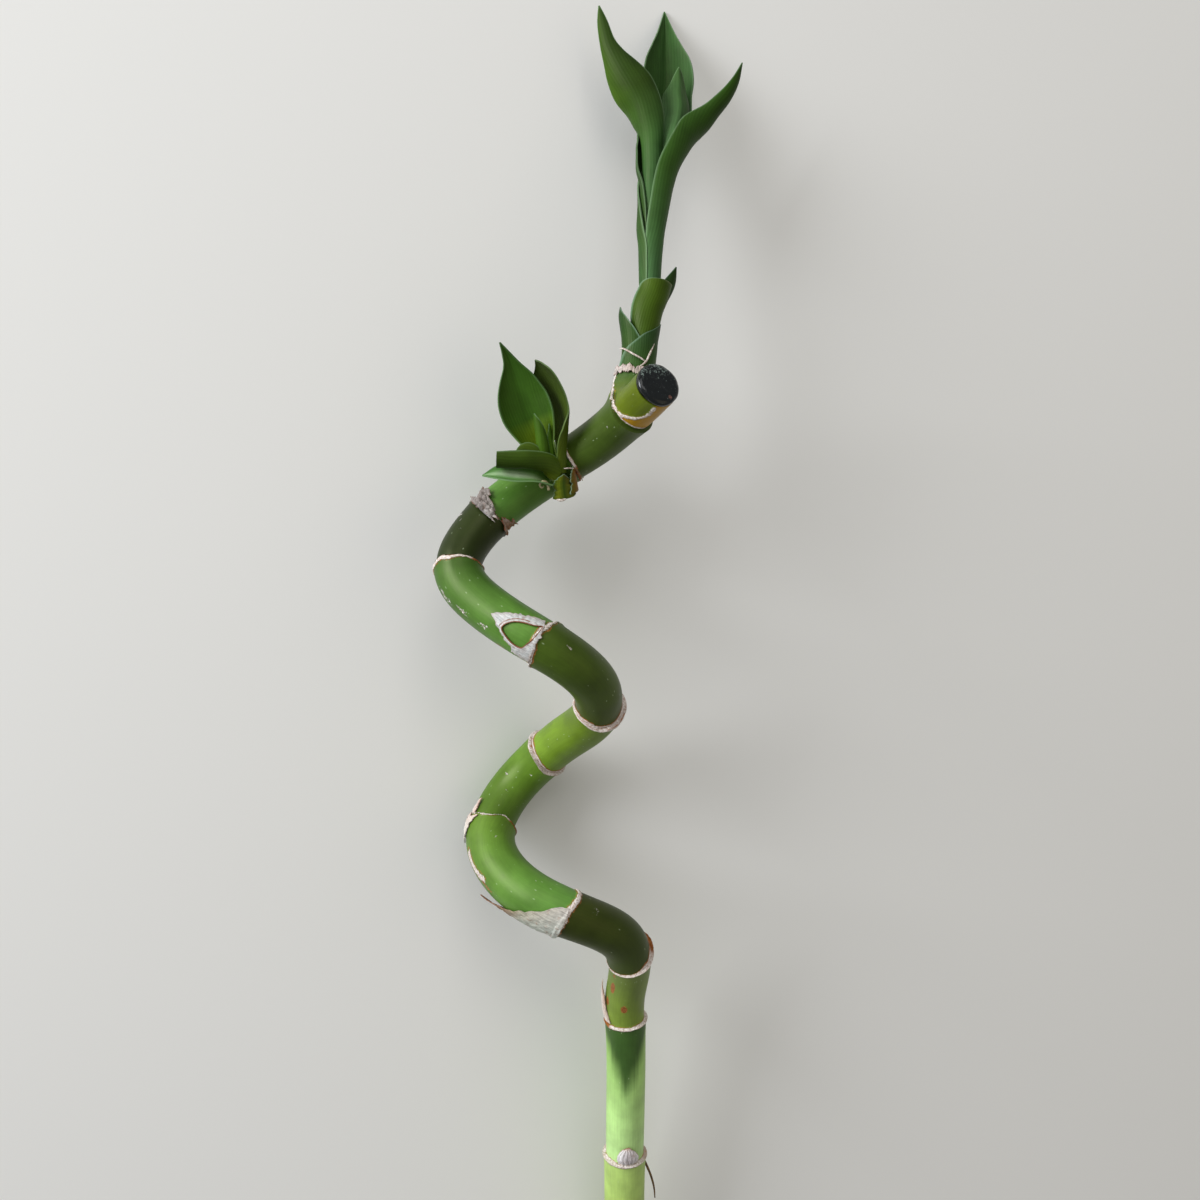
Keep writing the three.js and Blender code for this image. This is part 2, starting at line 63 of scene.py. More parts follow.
# ---- camera, light and floor
camera = {"aim": (-8.3, 6, 285), "distance": 400, "lens": 40.5, "sensor": 36, "nearest": 0.01}  # aims at the plant
lights = {  # right, up and toward the camera from the aim in metres, then size, power and tint
    "windowLeft": {"from": (-1.0, 0.45, 0.7), "size": 0.75, "watts": 25.0, "tint": "#f3f8ff"},
    "ceiling": {"from": (0.1, 0.9, 1.1), "size": 0.9, "watts": 5.6, "tint": "#ffffff"},
    "fillRight": {"from": (0.95, -0.3, 0.8), "size": 1.0, "watts": 1.4, "tint": "#ffecc8"},
}
sky = {"tint": "#eef2f6", "strength": 0.36}


def addCamera():
    data = bpy.data.cameras.new("photoView")
    data.sensor_width = camera["sensor"]
    data.lens = camera["lens"]
    data.clip_start = camera["nearest"]
    view = bpy.data.objects.new("photoView", data)
    bpy.context.scene.collection.objects.link(view)
    axes = np.array(((1, 0, 0), viewUp, viewSide)) @ layTurn.T
    pose = Matrix([list(row) for row in axes.T]).to_4x4()
    pose.translation = Vector(laid(np.array(camera["aim"]) + camera["distance"] * viewSide))
    view.matrix_world = pose
    bpy.context.scene.camera = view
    return pose


def linear(hexColour):
    channels = [int(hexColour[i : i + 2], 16) / 255 for i in (1, 3, 5)]
    return [c / 12.92 if c <= 0.04045 else ((c + 0.055) / 1.055) ** 2.4 for c in channels]


def addLights(viewPose):
    aim = Vector(laid(camera["aim"]))
    for name, look in lights.items():
        data = bpy.data.lights.new(name, "AREA")
        data.size = look["size"]
        data.energy = look["watts"]
        data.color = linear(look["tint"])
        lamp = bpy.data.objects.new(name, data)
        bpy.context.scene.collection.objects.link(lamp)
        lamp.location = aim + viewPose.to_3x3() @ Vector(look["from"])
        lamp.rotation_mode = "QUATERNION"
        lamp.rotation_quaternion = (aim - lamp.location).to_track_quat("-Z", "Y")
    world = bpy.data.worlds.new("softStudio")
    bpy.context.scene.world = world
    world.use_nodes = True
    background = world.node_tree.nodes["Background"]
    background.inputs["Color"].default_value = (*linear(sky["tint"]), 1)
    background.inputs["Strength"].default_value = sky["strength"]
    bpy.context.scene.view_settings.view_transform = "Standard"


addLights(addCamera())
print("camera and lights are up")

# ---- small helpers
degree = math.pi / 180
skinWay = 7 * degree  # mm along the cane's skin for one degree round it
# how a number for each corner is stored, by its name, and the output that a material reads it from
dataKinds = {"tone": ("FLOAT_COLOR", "color", "Color"), "fibre": ("FLOAT_VECTOR", "vector", "Vector")}
plainKind = ("FLOAT", "value", "Fac")


def outputOf(source):
    # a node stands for its first output, and a mix of colours for its third
    if isinstance(source, bpy.types.NodeSocket):
        return source
    return source.outputs[2 if getattr(source, "data_type", "") == "RGBA" else 0]


def addNode(tree, kind, settings=None, links=None):
    # a mix has its share at 0, its colours at 6 and 7 and its numbers at 2 and 3
    node = tree.nodes.new("ShaderNode" + kind)
    for name, value in (settings or {}).items():
        if name == "stops":
            ramp = node.color_ramp
            while len(ramp.elements) < len(value):
                ramp.elements.new(0.5)
            for element, (at, colour) in zip(ramp.elements, value):
                element.position = at
                element.color = (*linear(colour), 1)
        elif name == "range":  # from low, from high, to low, to high
            for i, number in enumerate(value):
                node.inputs[i + 1].default_value = number
        elif isinstance(name, int) or name in node.inputs:
            node.inputs[name].default_value = (*linear(value), 1) if isinstance(value, str) else value
        else:
            setattr(node, name, value)
    for name, source in (links or {}).items():
        tree.links.new(outputOf(source), node.inputs[name])
    return node


def newMaterial(name, *reads):
    # a material, the way to add its nodes, and a socket for each thing that it reads
    material = bpy.data.materials.new(name)
    material.use_nodes = True
    material.node_tree.nodes.clear()
    add = partial(addNode, material.node_tree)
    sockets = []
    for read in reads:
        if read == "place":
            sockets.append(add("TexCoord").outputs["Object"])
        else:
            sockets.append(add("Attribute", {"attribute_name": read}).outputs[dataKinds.get(read, plainKind)[2]])
    return material, add, *sockets


def coat(add, settings, links):
    add("OutputMaterial", {}, {"Surface": add("BsdfPrincipled", settings, links)})


def unit(vectors):
    return vectors / np.linalg.norm(vectors, axis=-1, keepdims=True)


def columns(*parts):
    return np.stack(np.broadcast_arrays(*parts), axis=-1)


def smoothStep(low, high, x):
    t = np.clip((x - low) / (high - low), 0, 1)
    return t * t * (3 - 2 * t)


def cosOf(degrees):
    return np.cos(np.radians(degrees))


def wobble(points, size, seed=0.0):
    # smooth noise from -1 to 1 whose bumps are about one size across
    shift = Vector((seed * 17.3, seed * 5.1, seed * 9.7))
    return np.array([noise.noise(Vector(p) / size + shift) for p in points]) * 2


def runLength(line):
    return np.concatenate(([0], np.cumsum(np.linalg.norm(np.diff(line, axis=0), axis=1))))


def spans(rows, t):
    # the four rows round each place t from 0 to 1 of a table, and how far it is between the middle two
    rows = np.array(rows, float)
    last = len(rows) - 1
    p = np.vstack((2 * rows[0] - rows[1], rows, 2 * rows[-1] - rows[-2]))
    x = np.clip(t, 0, 1) * last
    i = np.minimum(x.astype(int), last - 1)
    return p[i], p[i + 1], p[i + 2], p[i + 3], (x - i)[:, None]


def smoothRows(rows, t):
    # a smooth line through the rows
    before, start, end, after, w = spans(rows, t)
    leave = (end - before) / 2
    arrive = (after - start) / 2
    square = -3 * start + 3 * end - 2 * leave - arrive
    cube = 2 * start - 2 * end + leave + arrive
    return start + leave * w + square * w**2 + cube * w**3


def blend(under, over, share):
    share = share[:, None]
    return under * (1 - share) + np.asarray(over) * share


def toneAt(table, t, x=0):
    # colours from rows of a place and the colours there, from the piece's one side to its other
    places = [row[0] for row in table]
    colours = np.array([[linear(c) for c in row[1].split()] for row in table])
    sides = colours.shape[1] - 1
    found = columns(*[np.interp(t, places, channel) for channel in colours.reshape(len(table), -1).T])
    found = found.reshape(len(t), sides + 1, 3)
    step = np.clip((np.zeros(len(t)) + x + 0.5) * sides, 0, sides)
    low = np.minimum(step.astype(int), max(sides - 1, 0))
    index = np.arange(len(t))
    return blend(found[index, low], found[index, np.minimum(low + 1, sides)], step - low)


def readNumbers(data, field, width):
    numbers = np.zeros(len(data) * width)
    data.foreach_get(field, numbers)
    return numbers.reshape(-1, width)


def setData(piece, **values):
    # stores numbers, colours or places with the corners
    for name, numbers in values.items():
        kind, field, _ = dataKinds.get(name, plainKind)
        if name == "tone":
            numbers = np.hstack((numbers, np.ones((len(numbers), 1))))
        attribute = piece.data.attributes.new(name, kind, "POINT")
        attribute.data.foreach_set(field, np.asarray(numbers, np.float32).ravel())


def gridPiece(name, across, along):
    # a plant's free forms start as a grid, here with how far each corner is across it and along it
    bpy.ops.mesh.primitive_grid_add(x_subdivisions=across, y_subdivisions=along, size=1)
    piece = bpy.context.object
    piece.name = name
    piece.data.name = name
    corners = readNumbers(piece.data.vertices, "co", 3)
    return piece, corners[:, 0], corners[:, 1] + 0.5


def putCorners(piece, points):
    spots = laid(points)
    spots[:, 2] = np.maximum(spots[:, 2], 0)  # nothing sinks into the surface it lies on
    piece.data.vertices.foreach_set("co", spots.astype(np.float32).ravel())
    piece.data.update()


def thicken(piece, thickness):
    bpy.context.view_layer.objects.active = piece
    modifier = piece.modifiers.new("thickness", "SOLIDIFY")
    modifier.thickness = thickness * mm
    modifier.offset = 0
    bpy.ops.object.modifier_apply(modifier="thickness")


def closeUp(piece):
    # joins the corners that meet and turns the faces outwards
    bpy.context.view_layer.objects.active = piece
    bpy.ops.object.mode_set(mode="EDIT")
    bpy.ops.mesh.select_all(action="SELECT")
    bpy.ops.mesh.remove_doubles(threshold=1e-6)
    bpy.ops.mesh.normals_make_consistent(inside=False)
    bpy.ops.object.mode_set(mode="OBJECT")


def finishPiece(piece, material, slot, *nodes, angle=50):
    bpy.context.view_layer.objects.active = piece
    piece.select_set(True)
    bpy.ops.object.shade_smooth_by_angle(angle=math.radians(angle))
    piece.data.materials.append(material)
    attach(piece, "root")
    if nodes:
        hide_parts(*nodes)
    bpy.ops.object.select_all(action="DESELECT")


# ---- materials
paintedWarmReflection = "#f0f2bc"  # painted warm reflection: the shine of green leaves and skin is tinted as if it mirrored a warm room


def caneMaterial():
    # living stem skin under a waxy cuticle: an even satin gloss over green that is streaked along the fibres
    reads = ("place", "fibre", "tone", "dry", "rust")
    material, add, place, fibre, tone, dry, rust = newMaterial("waxyCaneSkin", *reads)
    long = add("Mapping", {"Scale": (1.6, 1.6, 0.10)}, {"Vector": fibre})  # streaks 0.6 mm wide
    streaks = add("TexNoise", {"Scale": 1, "Detail": 4, "Roughness": 0.6}, {"Vector": long})
    clouds = add("TexNoise", {"Scale": 110, "Detail": 3, "Roughness": 0.55}, {"Vector": place})  # 9 mm patches
    streakLight = add("MapRange", {"range": (0.3, 0.7, 0.92, 1.08)}, {0: streaks})
    cloudLight = add("MapRange", {"range": (0.3, 0.7, 0.82, 1.2)}, {0: clouds})
    light = add("Math", {"operation": "MULTIPLY"}, {0: streakLight, 1: cloudLight})
    skin = add("HueSaturation", {}, {"Color": tone, "Value": light})

    # pale lenticels and rubbed flecks, 0.3 to 0.6 mm
    fleckPlace = add("Mapping", {"Scale": (0.9, 0.9, 0.45)}, {"Vector": fibre})
    flecks = add("TexVoronoi", {"Scale": 0.55}, {"Vector": fleckPlace})
    fleckMask = add("MapRange", {"range": (0.10, 0.045, 0, 0.28)}, {0: flecks})
    flecked = add("Mix", {"data_type": "RGBA", 7: "#c9d8b0"}, {0: fleckMask, 6: skin})

    # papery and brown places, their edges broken up by grit
    grit = add("TexNoise", {"Scale": 1900, "Detail": 5, "Roughness": 0.7}, {"Vector": place})
    paperStops = [(0.28, "#7d5f52"), (0.42, "#b8a397"), (0.56, "#d8cec6"), (0.75, "#f3efe9")]
    rustStops = [(0.3, "#4a2410"), (0.5, "#8a4c22"), (0.7, "#b47a45")]
    push = add("MapRange", {"range": (0.3, 0.7, -0.22, 0.22)}, {0: grit})
    colour, masks = flecked, []
    for mask, (low, high), stops in ((dry, (0.40, 0.58), paperStops), (rust, (0.38, 0.66), rustStops)):
        ragged = add("Math", {"operation": "ADD"}, {0: mask, 1: push})
        masks.append(add("MapRange", {"range": (low, high)}, {0: ragged}))
        stain = add("ValToRGB", {"stops": stops}, {"Fac": grit})
        colour = add("Mix", {"data_type": "RGBA"}, {0: masks[-1], 6: colour, 7: stain})

    gloss = add("MapRange", {"range": (0.3, 0.7, 0.36, 0.50)}, {0: clouds})
    rough = add("Mix", {"data_type": "FLOAT", 3: 0.85}, {0: masks[0], 2: gloss})
    fine = add("Bump", {"Strength": 0.25, "Distance": 0.00008}, {"Height": streaks})
    paperHeight = add("Math", {"operation": "MULTIPLY"}, {0: masks[0], 1: grit})
    bump = add("Bump", {"Strength": 0.9, "Distance": 0.0003}, {"Height": paperHeight, "Normal": fine})
    # its Specular Tint is the painted warm reflection
    settings = {"IOR": 1.45, "Specular IOR Level": 0.4, "Specular Tint": paintedWarmReflection}
    coat(add, settings, {"Base Color": colour, "Roughness": rough, "Normal": bump})
    return material


def leafMaterial(name, look):
    # a smooth leaf with a thin cuticle: satin gloss, parallel veins along the blade and a pale thin margin
    material, add, place, fibre, tone, margin = newMaterial(name, "place", "fibre", "tone", "margin")
    across = add("Mapping", {"Scale": (1 / look["veinGap"], 1, 0.012)}, {"Vector": fibre})
    waves = {"Scale": 0.318, "Distortion": 0.7, "Detail": 2, "Detail Scale": 0.6}
    veins = add("TexWave", waves, {"Vector": across}).outputs["Fac"]
    streakPlace = add("Mapping", {"Scale": (2.2, 1, 0.07)}, {"Vector": fibre})
    streaks = add("TexNoise", {"Scale": 1, "Detail": 4, "Roughness": 0.6}, {"Vector": streakPlace})
    clouds = add("TexNoise", {"Scale": 160, "Detail": 3, "Roughness": 0.5}, {"Vector": place})
    light = add("MapRange", {"range": (0, 1, 1 - look["veins"], 1 + look["veins"])}, {0: veins})
    for pattern, low, high in ((streaks, 0.88, 1.12), (clouds, 0.86, 1.16)):
        part = add("MapRange", {"range": (0.3, 0.7, low, high)}, {0: pattern})
        light = add("Math", {"operation": "MULTIPLY"}, {0: light, 1: part})
    green = add("HueSaturation", {}, {"Color": tone, "Value": light})
    edged = add("Mix", {"data_type": "RGBA", 7: look["margin"]}, {0: margin, 6: green})
    rough = add("MapRange", {"range": (0.3, 0.7, look["roughness"] - 0.06, look["roughness"] + 0.08)}, {0: clouds})
    height = add("Math", {"operation": "ADD"}, {0: veins, 1: streaks})
    bump = add("Bump", {"Strength": 0.3, "Distance": 0.00008}, {"Height": height})
    # its Specular Tint is the painted warm reflection
    settings = {"IOR": 1.45, "Specular IOR Level": 0.22, "Specular Tint": paintedWarmReflection}
    coat(add, settings, {"Base Color": edged, "Roughness": rough, "Normal": bump})
    return material


def paperMaterial():
    # dead leaf sheath: dry and papery, silver to pink grey with brown fibres and rust-brown torn edges
    material, add, fibre, tone, rim = newMaterial("dryPaperySheath", "fibre", "tone", "rim")
    long = add("Mapping", {"Scale": (3.2, 3.2, 0.35)}, {"Vector": fibre})
    streaks = add("TexNoise", {"Scale": 1, "Detail": 6, "Roughness": 0.75}, {"Vector": long})
    blotches = add("TexNoise", {"Scale": 0.7, "Detail": 4, "Roughness": 0.65}, {"Vector": fibre})
    light = add("MapRange", {"range": (0.32, 0.68, 0.42, 1.32)}, {0: streaks})
    paper = add("HueSaturation", {}, {"Color": tone, "Value": light})
    stain = add("MapRange", {"range": (0.56, 0.74, 0, 0.75)}, {0: blotches})
    stained = add("Mix", {"data_type": "RGBA", 7: "#8d6650"}, {0: stain, 6: paper})
    push = add("MapRange", {"range": (0.3, 0.7, -0.3, 0.3)}, {0: streaks})
    ragged = add("Math", {"operation": "ADD"}, {0: rim, 1: push})
    rimMask = add("MapRange", {"range": (0.45, 0.8)}, {0: ragged})
    edged = add("Mix", {"data_type": "RGBA", 7: "#7c4a2c"}, {0: rimMask, 6: stained})
    bump = add("Bump", {"Strength": 0.8, "Distance": 0.0002}, {"Height": streaks})
    coat(add, {"Roughness": 0.78}, {"Base Color": edged, "Normal": bump})
    return material


def waxMaterial():
    # dipped sealing wax: near black and glossy, with a few pale scuffs and a brownish chip on its top
    material, add, place, scuffed, chip = newMaterial("blackSealingWax", "place", "scuffed", "chip")
    grain = add("TexNoise", {"Scale": 1300, "Detail": 5, "Roughness": 0.7}, {"Vector": place})
    colour = add("RGB")
    colour.outputs[0].default_value = (*linear("#070b0a"), 1)
    marks = ((scuffed, (0.50, 0.60, 0, 0.55), "#8b9a90"), (chip, (0.42, 0.60, 0, 0.7), "#8a5f50"))
    for mask, span, mark in marks:
        broken = add("Math", {"operation": "MULTIPLY"}, {0: mask, 1: grain})
        share = add("MapRange", {"range": span}, {0: broken})
        colour = add("Mix", {"data_type": "RGBA", 7: mark}, {0: share, 6: colour})
    rough = add("MapRange", {"range": (0.3, 0.7, 0.12, 0.30)}, {0: grain})
    lumps = add("TexNoise", {"Scale": 330, "Detail": 3}, {"Vector": place})
    bump = add("Bump", {"Strength": 0.35, "Distance": 0.0003}, {"Height": lumps})
    coat(add, {"IOR": 1.45}, {"Base Color": colour, "Roughness": rough, "Normal": bump})
    return material


def pithMaterial():
    # a clean saw cut through the stem: pale moist pith with the ends of its fibre bundles as darker dots
    material, add, place = newMaterial("freshCutPith", "place")
    dots = add("TexVoronoi", {"Scale": 1100}, {"Vector": place})  # bundles 0.9 mm apart
    colour = add("ValToRGB", {"stops": [(0.12, "#a8a058"), (0.3, "#d8d79a"), (0.8, "#e9e8bd")]}, {"Fac": dots})
    bump = add("Bump", {"Strength": 0.4, "Distance": 0.0001}, {"Height": dots})
    coat(add, {"Roughness": 0.5}, {"Base Color": colour, "Normal": bump})
    return material


def fibreMaterial(name, pale, dark):
    # a dead plant fibre: matt and thin, paler where it is frayed
    material, add, place = newMaterial(name, "place")
    grain = add("TexNoise", {"Scale": 1500, "Detail": 4}, {"Vector": place})
    colour = add("ValToRGB", {"stops": [(0.35, dark), (0.65, pale)]}, {"Fac": grain})
    bump = add("Bump", {"Strength": 0.5, "Distance": 0.0001}, {"Height": grain})
    coat(add, {"Roughness": 0.7}, {"Base Color": colour, "Normal": bump})
    return material


waxyCaneSkin = caneMaterial()
leafBlade = leafMaterial("waxyLeafBlade", {"veinGap": 0.9, "veins": 0.05, "margin": "#7f9c74", "roughness": 0.52})
shootSheath = leafMaterial("waxyShootSheath", {"veinGap": 0.7, "veins": 0.05, "margin": "#86a48a", "roughness": 0.48})
dryPaper = paperMaterial()
sealingWax = waxMaterial()
cutPith = pithMaterial()
paleFibre = fibreMaterial("dryPaleFibre", "#d9cfc4", "#8f7565")
brownRoot = fibreMaterial("dryRootFibre", "#7a5a30", "#3f2a14")
tendrilFibre = fibreMaterial("curledSheathStrand", "#b9b088", "#7f7448")
print("materials are mixed")

floorLook = {"size": 6, "tint": "#e6e3dd", "roughness": 0.9}


def boardMaterial():
    # matt painted board, pale and even
    material, add = newMaterial("paleMattBoard")
    coat(add, {"Base Color": floorLook["tint"], "Roughness": floorLook["roughness"]}, {})
    return material


bpy.ops.mesh.primitive_plane_add(size=floorLook["size"])
floor = bpy.context.object
floor.name = "paleFloor"
floor.data.materials.append(boardMaterial())
bpy.ops.object.select_all(action="DESELECT")


# ---- cane
cane = {
    "route": [  # mm, from the cut foot to the sealed end
        (0, 0, 0), (0, 0, 33.5), (0, 0, 67.5), (0, 0, 101), (0.5, 0, 137), (-1, 0.5, 151.5), (1.5, -4.5, 165),
        (0.5, -9, 180), (-12.5, -15.5, 190), (-27, -14, 195), (-39.5, -3.5, 199.5), (-45, 9, 206.5),
        (-37.5, 22, 216), (-26.5, 22, 227.5), (-18, 14, 238), (-9.5, 4, 247.5), (-7.5, -3.5, 260.5),
        (-16, -13.5, 273), (-28.5, -13, 280.5), (-41.5, -4.5, 286), (-53, 3.5, 294.5), (-44.5, 15.5, 305.5),
        (-34, 23, 313), (-20.5, 24.5, 321.5), (-8, 20.5, 330), (1, 12.5, 340), (7.4, 2.2, 348.8),
    ],
    # each node: distance up the cane, radius above it, how far its collar stands out and on which side
    "nodes": [
        (0, 7.0, 0, 0), (35, 6.8, 0.6, 0), (92, 6.4, 0.6, 0), (144.6, 6.4, 0.6, 90), (173, 7.2, 1.4, 70),
        (204.5, 7.6, 0.5, 0), (245.5, 7.1, 0.4, 0), (278, 7.0, 0.7, 0), (312.5, 7.2, 1.3, 85),
        (348.5, 7.0, 0.4, 0), (384, 6.8, 0.4, 0), (402.5, 6.8, 0.5, 0), (436, 6.7, 0.4, 0), (461, 6.4, 0.5, 0),
    ],
    "neck": (0.25, 3),  # how much thinner it is right above a node, and over what length
    "flare": (0.7, 4),  # the share of a collar's size that is left under it, and over what length
    "sides": 88,
    "rowStep": 0.95,
    "ringStep": 0.24,
    "ringReach": 3.2,
    "stubFrom": 457,  # fine rows from here to the sealed end
    # each stretch between two nodes: where it starts, its green there and its green under the next node
    "greens": [
        (0, "#9cb454", "#98b052"),
        (35.2, "#9ab254", "#a6c068"),
        (92.0, "#b4d68a", "#84ac50"),
        (144.8, "#6c802e", "#647630"),
        (173.2, "#303e0a", "#2a3208"),
        (204.0, "#547e34", "#526e20"),
        (245.8, "#46621a", "#5a7a22"),
        (278.6, "#6c8a26", "#5a7018"),
        (312.8, "#3a480e", "#3a4e12"),
        (348.8, "#527a2e", "#36541a"),
        (383.4, "#1a2606", "#1c2606"),
        (402.8, "#4c762c", "#46621c"),
        (436.0, "#3c5016", "#3a4c16"),
        (462.4, "#4e600e", "#56660e"),
    ],
    "wedge": "#2a481a",
    "stub": ("#56640e", "#385424"),  # inside the tear, low and high
    "ochre": "#a67a0e",
}


def ledCurve(points, perSpan=160):
    # a curve that is led by its points and passes beside them, and how far along it each place is
    before, start, end, after, w = spans(points, np.linspace(0, 1, (len(points) - 1) * perSpan + 1))
    line = (1 - w) ** 3 * before + (3 * w**3 - 6 * w**2 + 4) * start
    line = (line + (-3 * w**3 + 3 * w**2 + 3 * w + 1) * end + w**3 * after) / 6
    return line, runLength(line)


caneLine, caneReach = ledCurve(cane["route"])
caneLength = caneReach[-1]


def onCane(s):
    return columns(*[np.interp(s, caneReach, caneLine[:, k]) for k in range(3)])


def caneFrame(s):
    # the cane's middle, its direction, the side that faces up, and the side to the right of that
    inside = np.clip(np.asarray(s, float), 0, caneLength)
    along = unit(onCane(np.minimum(inside + 0.4, caneLength)) - onCane(np.maximum(inside - 0.4, 0)))
    front = unit(viewSide - along * (along @ viewSide)[..., None])
    right = np.cross(along, front)
    middle = onCane(inside) + along * (s - inside)[..., None]
    return middle, along, front, right


def roundCane(s, angle, radius):
    # the place at a distance up the cane, an angle round it, in degrees from the side that faces up, and a radius
    middle, _, front, right = caneFrame(s)
    turned = np.radians(angle)[:, None]
    radius = radius[:, None]
    return middle + right * radius * np.sin(turned) + front * radius * np.cos(turned)


# the rings that old leaf sheaths left: thickness, side where it turns brown, where it is widest,
# and its height at a few angles where it doesn't run level
rings = [
    {"at": 35, "thick": 1.1, "brown": 120},
    {"at": 91.8, "thick": 1.1, "brown": 88, "rusty": 0.6, "line": [(-60, 91.9), (0, 91.8), (60, 91.7)]},
    {"at": 144.6, "thick": 1.1, "brown": -80, "pink": 0.5},
    {"at": 173, "thick": 1.0, "brown": 104, "wideAt": 104, "wide": 4.2,
     "line": [(-60, 171.8), (-3, 172.2), (50, 173.2), (70, 174.4), (90, 176.2), (120, 177), (180, 174)]},
    {"at": 203.9, "thick": 1.5, "pink": 0.8, "crumple": 0.6,
     "line": [(-81, 204.5), (-34, 204.7), (0, 204), (26, 203.1), (44, 202.6), (90, 202.6)]},
    {"at": 245.5, "thick": 0.8, "brown": 70, "pink": 1,
     "line": [(-82, 245.4), (-57, 246.2), (-7, 245.2), (22, 246.8), (65, 244.8)]},
    {"at": 278.2, "thick": 1.9, "brown": 150, "double": 1,
     "line": [(-56, 278.9), (-7, 278.6), (29, 276.6), (52, 276.9)]},
    {"at": 312.4, "thick": 1.5, "double": 1,
     "line": [(-56, 313.2), (-23, 312.5), (20, 311.1), (60, 311.5), (90, 313.5)]},
    {"at": 348.5, "thick": 1.5, "pink": 1,
     "line": [(-86, 347), (-56, 347.6), (7, 349.2), (35, 348.8), (49, 348.1), (79, 347), (91, 345.1), (130, 346)]},
    {"at": 383.2, "thick": 0.85, "brown": 70, "pink": 0.5,
     "line": [(-38, 383.2), (27, 382.9), (56, 382.1), (77, 379.9), (130, 381)]},
    {"at": 402.5, "thick": 0.45, "brown": 60, "pink": 1},
    {"at": 435.8, "thick": 0.8, "brown": 60, "line": [(-60, 436), (28, 436), (55, 434.9), (94, 432.5), (150, 434)]},
    {"at": 462.2, "thick": 0.7, "brown": 110, "hidden": -75},
]
ringLook = {
    "ragged": ((0.55, 0.18, 0), (0.16, 0.10, 2)),  # size of the bumps in its line, their height, which noise
    "ridge": 0.30,  # how far it stands out, and how much more where it is crumpled
    "crumpledRidge": 0.12,
    "lips": 0.42,  # the height of the two lips of a double ring
}


def levelled(s, angle):
    # the distance up the cane with the slant of each ring taken out, fading 9 mm away from it
    flat = np.array(s, float)
    for ring in rings:
        if "line" in ring:
            turned, at = np.array(ring["line"], float).T
            slant = np.interp(angle, turned, at, period=360) - ring["at"]
            flat = flat - slant * np.exp(-(((s - ring["at"]) / 9) ** 2))
    return flat


def caneRadius(s, angle):
    s = levelled(s, angle)
    table = np.array(cane["nodes"], float)
    below = np.maximum(np.searchsorted(table[:, 0], s, side="right") - 1, 0)
    neck, neckLength = cane["neck"]
    flare, flareLength = cane["flare"]
    radius = table[below, 1] - neck * np.exp(-(s - table[below, 0]) / neckLength)
    for at, _, collar, side in table[1:]:
        lean = collar * (1 + 0.6 * cosOf(angle - side))
        under = at - s
        radius = radius + np.where(under >= 0, flare * lean * np.exp(-np.maximum(under, 0) / flareLength), 0)
    return radius


def fromRing(ring, s, angle):
    # how far above the ring's ragged middle line a place is, and half the ring's thickness there
    turned = columns(cosOf(angle), np.sin(np.radians(angle)), ring["at"])
    ragged = sum(wobble(turned, size, seed) * height for size, height, seed in ringLook["ragged"])
    wide = ring.get("wide", 0) * np.maximum(0, cosOf(angle - ring.get("wideAt", 0))) ** 2
    thick = (ring["thick"] + wide) * (1 + 0.24 * wobble(turned, 0.3, 4))
    off = levelled(s, angle) - ring["at"] - ragged * (1 + 2 * ring.get("crumple", 0))
    if "hidden" in ring:  # it runs out under the swelling of the shoot
        fade = smoothStep(0.55, 0.8, cosOf(angle - ring["hidden"]))
        thick = thick * (1 - 0.8 * fade)
        off = off + 9 * (fade > 0.99)
    return off, thick / 2


def caneSurface(s, angle):
    # a point on the finished skin, rings included
    radius = caneRadius(s, angle)
    for ring in rings:
        off, half = fromRing(ring, s, angle)
        if ring.get("double"):
            radius += np.exp(-(((np.abs(off) / half - 0.58) / 0.36) ** 2)) * ringLook["lips"]
        else:
            height = ringLook["ridge"] + ringLook["crumpledRidge"] * ring.get("crumple", 0)
            radius += np.exp(-((off / half) ** 4)) * height
    return roundCane(s, angle, radius)


def plainCane(s, angle, lift):
    # the same without the rings' own roughness, for what lies on the skin
    return roundCane(s, angle, caneRadius(s, angle) + lift)


marks = {
    # brown sunken spots: distance up the cane, angle, half length, half width in mm
    "brown": [
        (162.0, -46, 3.2, 1.2), (153.8, -61, 2.0, 1.1), (153.9, -2, 2.0, 1.4), (168.9, -46, 1.2, 0.8),
        (226.0, -50, 2.6, 0.5), (364.0, -84, 0.9, 0.6), (356.5, -74, 1.4, 0.5),
    ],
    # pale rubbed places and scratches
    "pale": [
        (341.6, 29, 1.0, 1.1), (262.8, -36, 0.5, 2.4), (377.1, -62, 2.6, 1.2),
        (374.5, -56, 1.4, 0.9), (370.9, -46, 2.6, 1.0), (369.0, -50, 1.8, 0.9), (362.6, -43, 2.4, 1.3),
        (361.2, -36, 1.0, 0.9), (396.9, -71, 0.6, 1.4), (395.5, -50, 0.5, 1.0), (455.4, -7, 0.6, 0.5),
        (236.8, 25, 0.5, 0.5), (214.5, 50, 0.5, 0.5), (257.0, -10, 0.5, 1.0), (270.5, 9, 0.4, 0.9),
        (392.0, -30, 0.4, 0.5), (388.0, 10, 0.4, 0.4), (300.0, -20, 0.4, 1.4), (292.0, 30, 0.4, 0.4),
    ],
    # one soft tan place, rubbed but not torn
    "rubbed": (197.0, 42, 2.8, 2.8),
    # a long pale scar on the left, white with a brown rim
    "scar": [(236.4, -60), (233.2, -58), (230.3, -51), (228.0, -43)],
    # the dark green wedge under the third ring: distance up the cane and half its angle
    "wedge": [(116, -12), (122, 8), (130, 32), (137, 57), (142, 84), (144.6, 104)],
    "wedgeFades": (112, 122),
}


def unrolled(s, angle):
    return columns(s, np.asarray(angle) * skinWay)  # skin laid flat, in mm


